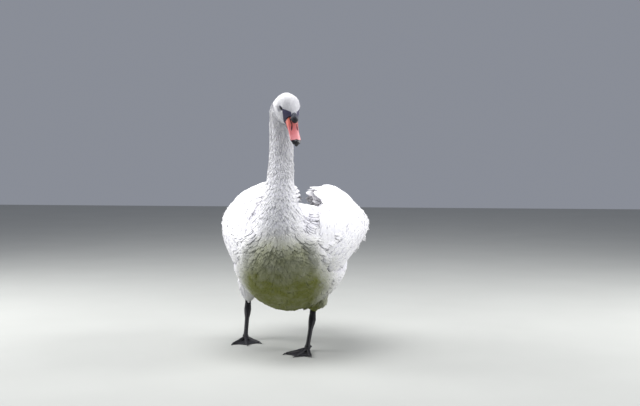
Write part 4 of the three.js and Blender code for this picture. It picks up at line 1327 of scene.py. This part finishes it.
chance = np.random.default_rng(51)
feathers = []
for row in range(SCAPULAR_ROWS):
    y = np.interp(row, (0, SCAPULAR_ROWS - 1), SCAPULAR_REACH)
    for column in range(-SCAPULAR_COLUMNS, SCAPULAR_COLUMNS + 1):
        x = (column + 0.5 * (row % 2)) * SCAPULAR_APART + chance.uniform(-4, 4)
        steps = np.linspace(0, 1, 7)
        path = [on_back(x * (1 - 0.12 * s), y + s * SCAPULAR_LENGTH) for s in steps]
        if any(place is None or place[2] < BACK_LEVEL for place in path):
            continue
        lift = np.linspace(1.0, 6.5, len(path)) + chance.uniform(-0.6, 0.6)
        outs = unit(np.array([[place[0] * 0.0016, 0, 1] for place in path]))
        vane = long_vane(np.array(path) + outs * lift[:, None], outs, 19, chance, point=0.5, camber=0.1)
        feathers.append((vane, (0.5 + x / 340, (y + 300) / 620)))
feather_piece("scapulars", feathers)

# ------------------------------------------------------------------ folded primaries
# The ten narrow outermost flight feathers of each wing, stiff vanes with their shafts near one edge. They are
# folded into a stack that runs from under the wing over the root of the tail.
PRIMARY_COUNT = 10
PRIMARY_OUT = np.array([0.75, 0, 0.66])
PRIMARY_BOW = np.array([0.5, 0, 0.6]) * 14

for side, name in ((1, "primaries_left"), (-1, "primaries_right")):
    chance = np.random.default_rng(60 + side)
    feathers = []
    for i in range(PRIMARY_COUNT):
        s = i / (PRIMARY_COUNT - 1)
        steps = np.linspace(0, 1, PATH_STEPS)[:, None]
        root = np.array([118 - 16 * s, 128, 356 + 16 * s])
        tip = np.array([56 - 20 * s, 386 - 60 * s, 382 + 18 * s])
        path = root * (1 - steps) + tip * steps + PRIMARY_BOW * np.sin(np.pi * steps)
        path += PRIMARY_OUT * (1.4 - 2.8 * s)
        outs = np.tile(PRIMARY_OUT, (PATH_STEPS, 1))
        vane = long_vane(path, outs, 15, chance, point=0.5, camber=0.12, shift=0.25)
        feathers.append((vane, (0.1 + 0.8 * s, 0.5)))
    piece = feather_piece(name + "_feathers", feathers, side)
    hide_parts(name)

# ------------------------------------------------------------------ tail
# Twenty stiff tail feathers in a shallow pointed fan, rooted in the rump, with rows of soft coverts over and
# under their roots.
TAIL_ROOT = np.array([0, 190, 388])
TAIL_LENGTH = 214
TAIL_SPREAD = math.radians(46)
TAIL_DROOP = -34

# The fan and then its coverts: how many, length, half width, lift, share of the spread, and the share of the
# length where they begin. Those with a lift below 0 lie under the fan and face down.
TAIL_ROWS = [
    (20, TAIL_LENGTH, 17, 0, 1.0, 0.0),
    (11, 138, 16, 5, 0.8, 0.1),
    (9, 104, 16, 10, 0.9, 0.1),
    (11, 132, 17, -9, 0.95, 0.1),
    (9, 98, 17, -15, 1.0, 0.1),
]

chance = np.random.default_rng(71)
feathers = []
for count, length, half, lift, spread_share, start in TAIL_ROWS:
    spread = TAIL_SPREAD * spread_share
    for i in np.argsort(-np.abs(np.linspace(-1, 1, count))):
        share = -1 + 2 * i / (count - 1)
        angle = share * spread / 2
        reach = np.array([math.sin(angle), math.cos(angle), 0])
        run = length * (1 - 0.16 * share * share) * np.linspace(start, 1, PATH_STEPS)[:, None]
        drop = TAIL_DROOP * (run / TAIL_LENGTH) ** 2 - 6 * abs(share)
        path = TAIL_ROOT + reach * run + STRAIGHT_UP * (drop + lift + 1.5 * (1 - abs(share)))
        outs = unit(np.tile([-0.25 * share, 0.1, -1 if lift < 0 else 1], (PATH_STEPS, 1)))
        vane = long_vane(path, outs, half, chance, point=0.45, camber=0.12)
        feathers.append((vane, (0.5 + 0.4 * share, 0.2 + 0.5 * length / TAIL_LENGTH)))
piece = feather_piece("tail_feathers", feathers)
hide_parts("tail")

# ------------------------------------------------------------------ upper bill
# The upper half of the bill: horn over bone, salmon orange at the base and pinker to the tip, with black
# along its base, its cutting edge and its two nostril slits. It is one form, pressed in at the nostrils.
UPPER_ROWS = [
    [28, 18.6, 9.5, -9, -18],
    [40, 19.2, 9.3, -12, -20.1],
    [52, 18.6, 4.6, -13.8, -20.6],
    [64, 17.8, -2.4, -15.6, -21.2],
    [76, 17.4, -8.3, -17.5, -22.2],
    [88, 17.8, -12, -19.2, -23.3],
    [102, 18.0, -14.9, -20.9, -24.8],
    [116, 12.5, -18.2, -22.6, -26.5],
]
BILL_STEPS = 130
BILL_SIDES = 112
BILL_REACH = (28, 116)
NOSTRIL = (66, 9.6)
NOSTRIL_REACH = (6.6, 1.5)
NOSTRIL_DEPTH = 3.0
NOSTRIL_LIP = 0.45
NOSTRIL_TURN = 0.16


def nostril_ring(at):
    """How far each point is from a nostril slit: 1 on its rim."""
    ahead = at[:, 0] - NOSTRIL[0]
    aside = np.abs(at[:, 1]) - NOSTRIL[1] - ahead * NOSTRIL_TURN
    return np.hypot(ahead / NOSTRIL_REACH[0], aside / NOSTRIL_REACH[1])


bill_rings = oval_rings(UPPER_ROWS, BILL_STEPS, BILL_SIDES, squareness=2.4)
bill_points, bill_faces = closed_tube(bill_rings, [27, 0, -9], [119, 0, -22.8])
along_bill = np.linspace(0, 1, BILL_STEPS + 1).repeat(BILL_SIDES)
middle = through(UPPER_ROWS, np.append(along_bill, [0, 1]))
ring = nostril_ring(bill_points)
upper_face = bill_points[:, 2] > middle[:, 3]
press = np.exp(-(ring ** 2) * 0.8) * NOSTRIL_DEPTH * upper_face
lip = NOSTRIL_LIP * np.exp(-(((ring - 2.1) / 0.6) ** 2)) * upper_face
bill_points[:, 2] -= press - lip
bill_points[:, 1] -= np.sign(bill_points[:, 1]) * press * 0.25

# Where the horn is black: its base, its cutting edge, the nostrils, the stripes between base and nostrils,
# and its tip under the nail.
rear = np.interp(bill_points[:, 2], *HORN_EDGE) + 0.5 * np.sin(bill_points[:, 2] * 0.9)
black_base = blend(2.4, 1.0, bill_points[:, 0] - rear)
above_edge = bill_points[:, 2] - middle[:, 4]
black_edge = blend(1.9, 1.1, above_edge - 3.2 * blend(84, 112, bill_points[:, 0]))
black_nostril = blend(1.5, 1.0, ring) * upper_face
stripe = np.abs(np.abs(bill_points[:, 1]) - np.interp(bill_points[:, 0], [40, 50, 60], [13, 11.6, 9]))
black_stripe = blend(1.5, 0.8, stripe) * blend(62, 58, bill_points[:, 0]) * upper_face
black_tip = blend(103, 106, bill_points[:, 0])
black = np.max([black_base, black_edge, black_nostril, black_stripe, black_tip], axis=0)
reach = (bill_points[:, 0] - BILL_REACH[0]) / (BILL_REACH[1] - BILL_REACH[0])
bill_mesh = head_mesh("bill_upper_horn", bill_points, bill_faces, black=black, reach=reach)

# Bill horn: moulded by growth, so it has a low waxy gloss, fine pits and faint streaks along its length.
HORN_ORANGE = paint("#DB6A48")
HORN_PINK = paint("#E2797C")
HORN_PALE = paint("#EFA1A6")
HORN_BLACK = paint("#0C0B0E")
HORN_GREY = paint("#1F1E24")
HORN_MOTTLE = 1 / (5 * MM)
HORN_PITS = 1 / (1.1 * MM)


def horn(name, red):
    """Bill horn, red with black markings or all black."""
    made, tree, shader = new_material(name)
    place = add_node(tree, "ShaderNodeTexCoord", give="Object")
    mottle = add_node(tree, "ShaderNodeTexNoise", {"Vector": place, "Scale": HORN_MOTTLE, "Detail": 4.0})
    pits = add_node(tree, "ShaderNodeTexNoise", {"Vector": place, "Scale": HORN_PITS, "Detail": 2.0})
    colour = add_node(tree, "ShaderNodeMix", {FACTOR: mottle, COLOUR_A: HORN_BLACK, COLOUR_B: HORN_GREY},
                      give=MIXED, data_type="RGBA")
    if red:
        reach = add_node(tree, "ShaderNodeAttribute", give="Fac", attribute_name="reach")
        wander = add_node(tree, "ShaderNodeMath", {0: mottle, 1: 0.45, 2: reach}, operation="MULTIPLY_ADD")
        pinker = add_node(tree, "ShaderNodeMapRange", {"Value": wander, "From Min": 0.25, "From Max": 0.7})
        paler = add_node(tree, "ShaderNodeMapRange",
                         {"Value": wander, "From Min": 0.75, "From Max": 1.15, "To Max": 0.75})
        warm = add_node(tree, "ShaderNodeMix", {FACTOR: pinker, COLOUR_A: HORN_ORANGE, COLOUR_B: HORN_PINK},
                        give=MIXED, data_type="RGBA")
        warm = add_node(tree, "ShaderNodeMix", {FACTOR: paler, COLOUR_A: warm, COLOUR_B: HORN_PALE},
                        give=MIXED, data_type="RGBA")
        black = add_node(tree, "ShaderNodeAttribute", give="Fac", attribute_name="black")
        edge = add_node(tree, "ShaderNodeMath", {0: pits, 1: 0.3, 2: black}, operation="MULTIPLY_ADD")
        edge = add_node(tree, "ShaderNodeMapRange", {"Value": edge, "From Min": 0.55, "From Max": 0.75})
        colour = add_node(tree, "ShaderNodeMix", {FACTOR: edge, COLOUR_A: warm, COLOUR_B: colour},
                          give=MIXED, data_type="RGBA")
    bump = add_node(tree, "ShaderNodeBump", {"Height": pits, "Strength": 0.3, "Distance": 0.4 * MM})
    set_inputs(tree, shader, {"Base Color": colour, "Normal": bump, "Roughness": 0.38, "IOR": 1.54})
    return made


red_horn = horn("red_bill_horn", True)
black_horn = horn("black_bill_horn", False)


def finished(name, mesh, finish, slot, *nodes):
    """Shows a mesh smooth in one material and lets it stand for its nodes."""
    mesh.materials.clear()
    mesh.materials.append(finish)
    smooth_shaded(mesh)
    piece = show(name, mesh)
    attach(piece, "root")
    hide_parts(*nodes)


finished("bill_upper_horn", bill_mesh, red_horn, "bill_red_horn", "bill_upper")

# ------------------------------------------------------------------ lower bill
# The lower half of the bill: a narrow trough of black horn, hinged in life at the cheeks. It closes up under
# the upper half, with a groove along its underside.
LOWER_ROWS = [
    [33, 13, -21.0, -24.4, -31],
    [52, 13, -21.5, -25.2, -30],
    [72, 12.8, -22.5, -26, -29.6],
    [92, 13.6, -24, -27.2, -30],
    [110, 9, -26.5, -29, -31],
]
GROOVE_DEPTH = 1.2
GROOVE_HALF = 3.5

low_rings = oval_rings(LOWER_ROWS, steps=50, sides=40, squareness=2.2)
low_points, low_faces = closed_tube(low_rings, [32, 0, -25], [113, 0, -29.2])
groove = np.exp(-((low_points[:, 1] / GROOVE_HALF) ** 2)) * (low_points[:, 2] < -27)
low_points[:, 2] += GROOVE_DEPTH * (groove * blend(100, 60, low_points[:, 0]))
finished("bill_lower_horn", head_mesh("bill_lower_horn", low_points, low_faces), black_horn,
         "bill_black_horn", "bill_lower")

# ------------------------------------------------------------------ nail
# The nail is the hard hooked shield on the bill's tip, of the blackest and thickest horn. It grows out of the
# upper half and curves down over its end.
NAIL_CENTRE = (110.8, 0, -19.8)
NAIL_RADII = (11.4, 9.2, 6.8)
NAIL_HOOK = 0.05


def egg(centre, radii, across, down, form=None):
    """A closed egg in the head's own millimetres, of across by down faces. form reshapes it before it is put
    in its place."""
    tilt = np.linspace(0, np.pi, down + 1)[1:-1, None]
    turn = np.linspace(0, 2 * np.pi, across, endpoint=False)[None, :]
    rings = np.stack([np.sin(tilt) * np.cos(turn), np.sin(tilt) * np.sin(turn), np.cos(tilt) + 0 * turn], -1)
    points, faces = closed_tube(rings, [0, 0, 1], [0, 0, -1])
    points = points * radii
    if form is not None:
        points = form(points)
    return points + centre, faces


def hooked(points):
    """Bends the front of the nail down."""
    points[:, 2] -= NAIL_HOOK * np.maximum(points[:, 0] + 1, 0) ** 2
    return points


nail_points, nail_faces = egg(NAIL_CENTRE, NAIL_RADII, across=36, down=24, form=hooked)
finished("bill_nail_horn", head_mesh("bill_nail_horn", nail_points, nail_faces), black_horn,
         "bill_black_horn", "bill_nail")

# ------------------------------------------------------------------ knob
# The knob is a fleshy lobe of bare black skin that swells over the base of the bill. It is one lumpy egg,
# sunk into forehead and bill.
KNOB_CENTRE = (41.5, 0, 11)
KNOB_RADII = (16.5, 12.0, 12.6)
KNOB_LUMPS = 0.02


def lobed(points):
    """Makes the knob uneven, narrower towards the forehead, and higher there."""
    x, y, z = points.T
    swell = np.sin(x * 0.55) * np.cos(y * 0.6 + 1) * np.sin(z * 0.7)
    points = points * (1 + KNOB_LUMPS * swell[:, None])
    points[:, 1] *= 1 - 0.02 * np.maximum(-points[:, 0], 0)
    points[:, 2] += 0.35 * np.maximum(-points[:, 0] - 2, 0)
    return points


# Bare knob skin: black, creased like fine leather and half glossy, with a painted blue-grey sheen of
# reflected sky, in patches, that grows where it faces up.
KNOB_BLACK = paint("#1B1B22")
KNOB_SKY_SHEEN = paint("#6C7088")
SHEEN_CLOUDS = 1 / (7 * MM)

knob_skin, tree, shader = new_material("black_knob_skin")
place = add_node(tree, "ShaderNodeTexCoord", give="Object")
sheen_patches = add_node(tree, "ShaderNodeTexNoise", {"Vector": place, "Scale": SHEEN_CLOUDS, "Detail": 3.0})
creases = add_node(tree, "ShaderNodeTexVoronoi", {"Vector": place, "Scale": LEATHER_GRAIN})
facing = add_node(tree, "ShaderNodeNewGeometry", give="Normal")
facing_up = add_node(tree, "ShaderNodeSeparateXYZ", {"Vector": facing}, give="Z")
# Painted sheen: the knob is mixed towards light blue-grey where its surface faces up.
sheen_facing_up = add_node(tree, "ShaderNodeMapRange",
                 {"Value": facing_up, "From Min": 0.0, "From Max": 1.0, "To Min": 0.05, "To Max": 0.75})
painted_sheen = add_node(tree, "ShaderNodeMath", {0: sheen_facing_up, 1: sheen_patches}, operation="MULTIPLY")
colour = add_node(tree, "ShaderNodeMix", {FACTOR: painted_sheen, COLOUR_A: KNOB_BLACK, COLOUR_B: KNOB_SKY_SHEEN},
                  give=MIXED, data_type="RGBA")
bump = add_node(tree, "ShaderNodeBump", {"Height": creases, "Strength": 0.4, "Distance": 0.5 * MM})
set_inputs(tree, shader, {"Base Color": colour, "Normal": bump, "Roughness": 0.48})

knob_points, knob_faces = egg(KNOB_CENTRE, KNOB_RADII, across=48, down=32, form=lobed)
finished("bill_knob_skin", head_mesh("bill_knob_skin", knob_points, knob_faces), knob_skin,
         "knob_skin", "bill_knob")

# ------------------------------------------------------------------ eyes
# Two dark brown eyes with round pupils. Each is a wet polished ball that sits in its socket behind the rolled
# rims of its lids.
EYE_ASIDE = 27.5
EYE_RADII = (6.6, 5.6, 6.4)

# Wet eye: a clear coat of tears over a dark iris with faint streaks, a black pupil and a dark outer rim. The
# ball keeps each point's distance from the middle of the pupil, which is 1 at the edge of the eye.
EYE_BROWN = paint("#1E100A")
EYE_BLACK = paint("#050405")
PUPIL = 0.52
PUPIL_BLUR = 0.04
IRIS_STREAKS = 1 / (1.2 * MM)

wet_eye, tree, shader = new_material("dark_wet_eye")
place = add_node(tree, "ShaderNodeTexCoord", give="Object")
from_pupil = add_node(tree, "ShaderNodeAttribute", give="Fac", attribute_name="from_pupil")
streaks = add_node(tree, "ShaderNodeTexNoise", {"Vector": place, "Scale": IRIS_STREAKS, "Detail": 2.0})
iris = add_node(tree, "ShaderNodeMapRange",
                {"Value": from_pupil, "From Min": PUPIL - PUPIL_BLUR, "From Max": PUPIL + PUPIL_BLUR})
rim = add_node(tree, "ShaderNodeMapRange",
               {"Value": from_pupil, "From Min": 0.8, "From Max": 0.95, "To Min": 1.0, "To Max": 0.0})
brown = add_node(tree, "ShaderNodeMath", {0: iris, 1: rim}, operation="MULTIPLY")
brown = add_node(tree, "ShaderNodeMath", {0: brown, 1: streaks}, operation="MULTIPLY")
colour = add_node(tree, "ShaderNodeMix", {FACTOR: brown, COLOUR_A: EYE_BLACK, COLOUR_B: EYE_BROWN},
                  give=MIXED, data_type="RGBA")
set_inputs(tree, shader, {"Base Color": colour, "Roughness": 0.06, "Coat Weight": 0.25,
                          "Coat Roughness": 0.03, "Specular IOR Level": 0.35})

for side, name in ((1, "eye_left"), (-1, "eye_right")):
    eye_points, eye_faces = egg((0, side * EYE_ASIDE, EYE_LEVEL), EYE_RADII, across=40, down=28)
    off_axis = np.hypot(eye_points[:, 0], eye_points[:, 2] - EYE_LEVEL) / EYE_RADII[0]
    eye_mesh = head_mesh(name + "_ball", eye_points, eye_faces, from_pupil=off_axis)
    finished(name + "_ball", eye_mesh, wet_eye, "eye", name)

# ------------------------------------------------------------------ legs and feet
# Bare shanks and webbed feet in one scaly black skin over bone. Each leg is one closed skin, with a row of
# broad scutes raised over each toe.
LEG_GRAIN = 0.0011
SCUTE_STEP = 0.0034
SCUTE_RISE = 0.00045
TOES = ("inner", "middle", "outer")
ANKLE_LEVELS = (0.018, 0.03)

# Leg skin: dull black horny skin in small round scales, bluntly rounded, with grey dust in its creases.
LEG_BLACK = paint("#0D0C0F")
LEG_GREY = paint("#232229")
SCALE_SIZE = 1 / (2.3 * MM)
DUST_CLOUDS = 1 / (12 * MM)

scaly_skin, tree, shader = new_material("black_scaly_leg_skin")
place = add_node(tree, "ShaderNodeTexCoord", give="Object")
scales = add_node(tree, "ShaderNodeTexVoronoi", {"Vector": place, "Scale": SCALE_SIZE}, feature="F1")
dust = add_node(tree, "ShaderNodeTexNoise", {"Vector": place, "Scale": DUST_CLOUDS, "Detail": 4.0})
worn = add_node(tree, "ShaderNodeMath", {0: scales, 1: dust}, operation="MULTIPLY")
worn = add_node(tree, "ShaderNodeMapRange", {"Value": worn, "From Min": 0.1, "From Max": 0.42})
colour = add_node(tree, "ShaderNodeMix", {FACTOR: worn, COLOUR_A: LEG_GREY, COLOUR_B: LEG_BLACK},
                  give=MIXED, data_type="RGBA")
bump = add_node(tree, "ShaderNodeBump", {"Height": scales, "Strength": 0.6, "Distance": 0.6 * MM},
                invert=True)
set_inputs(tree, shader, {"Base Color": colour, "Normal": bump, "Roughness": 0.6, "Specular IOR Level": 0.3})

for name in ("left", "right"):
    leg = joined(f"leg_{name}_skin", [swollen_node("shank_" + name), swollen_node("foot_" + name)])
    remeshed(leg, LEG_GRAIN)
    relaxed(leg.data, 5)
    at, outs = points_of(leg.data), outs_of(leg.data)
    root = at[(at[:, 2] > ANKLE_LEVELS[0]) & (at[:, 2] < ANKLE_LEVELS[1])].mean(0)
    for toe in TOES:
        claw = np.array(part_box(f"claw_{name}_{toe}")).mean(0)
        way = unit((claw - root) * [1, 1, 0])
        along = (at - root) @ way
        aside = np.linalg.norm((at - root) * [1, 1, 0] - along[:, None] * way, axis=1)
        on_toe = blend(0.0062, 0.0042, aside) * blend(0.004, 0.007, at[:, 2]) * blend(0.012, 0.02, along)
        step = (along / SCUTE_STEP) % 1
        at = at + outs * (on_toe * SCUTE_RISE * (1 - step - 0.5) * 2)[:, None]
    at[:, 2] = np.maximum(at[:, 2], 0)
    set_points(leg.data, at)
    leg.data.materials.append(scaly_skin)
    smooth_shaded(leg.data)
    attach(leg, "root")
    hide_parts("shank_" + name, "foot_" + name)

# ------------------------------------------------------------------ claws
# Six short blunt claws of black horn, one at the tip of each front toe. Each is its node's own form, rounded
# by subdivision.
CLAW_ROUNDING = 2
for node in [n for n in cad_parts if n.startswith("claw_")]:
    claw = show(node + "_horn", outward(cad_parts[node].data.copy()))
    rounder = claw.modifiers.new("rounder", "SUBSURF")
    rounder.levels = CLAW_ROUNDING
    rounder.render_levels = CLAW_ROUNDING
    settled(claw)
    mesh = claw.data
    bpy.data.objects.remove(claw)
    finished(node + "_horn", mesh, black_horn, "claw_horn", node)

# ------------------------------------------------------------------ floor and light
# A plain pale floor. One broad soft light hangs overhead, a little ahead of the bird, a soft light stands on
# each side, and an even fill comes from all round.
FLOOR_SIZE = 14.0
CLOUDS_ON_FLOOR = 3.0
KEY_SIZE = 2.6
KEY_WATTS = 103
KEY_PLACE = (-0.4, -0.4, 3.4)
RIM_SIZE = 1.8
RIM_WATTS = 74
RIM_PLACES = {"rim_light_left": (2.6, 0.5, 1.7), "rim_light_right": (-2.6, 0.3, 1.7)}
LIGHTS_AIM = (0, -0.1, 0.5)
FILL_STRENGTH = 0.35
SKY_TINT = paint("#DDE3F2")

# Matt paper: it scatters light evenly, pale grey with faint clouds, and has no gloss.
FLOOR_PALE = paint("#B7B8B4")
FLOOR_CLOUD = paint("#AFB0AC")
floor_finish, tree, shader = new_material("matt_paper_floor")
place = add_node(tree, "ShaderNodeTexCoord", give="Object")
clouds = add_node(tree, "ShaderNodeTexNoise", {"Vector": place, "Scale": CLOUDS_ON_FLOOR, "Detail": 4.0})
colour = add_node(tree, "ShaderNodeMix", {FACTOR: clouds, COLOUR_A: FLOOR_PALE, COLOUR_B: FLOOR_CLOUD},
                  give=MIXED, data_type="RGBA")
set_inputs(tree, shader, {"Base Color": colour, "Roughness": 0.9})
half = FLOOR_SIZE / 2
floor_corners = [(-half, -half, 0), (half, -half, 0), (half, half, 0), (-half, half, 0)]
floor = show("floor", mesh_of("floor", floor_corners, [(0, 1, 2, 3)]))
floor.data.materials.append(floor_finish)


def soft_light(name, place, size, watts):
    """A round soft light of this size in metres, turned to the bird's body."""
    lamp = bpy.data.objects.new(name, bpy.data.lights.new(name, "AREA"))
    bpy.context.scene.collection.objects.link(lamp)
    lamp.data.shape = "DISK"
    lamp.data.size = size
    lamp.data.energy = watts
    lamp.location = place
    lamp.rotation_euler = (Vector(LIGHTS_AIM) - lamp.location).to_track_quat("-Z", "Y").to_euler()


soft_light("key_light", KEY_PLACE, KEY_SIZE, KEY_WATTS)
for name, place in RIM_PLACES.items():
    soft_light(name, place, RIM_SIZE, RIM_WATTS)
world = bpy.data.worlds.new("studio")
world.use_nodes = True
sky = world.node_tree.nodes["Background"]
set_inputs(world.node_tree, sky, {"Color": SKY_TINT, "Strength": FILL_STRENGTH})
bpy.context.scene.world = world
bpy.context.scene.view_settings.view_transform = "Standard"
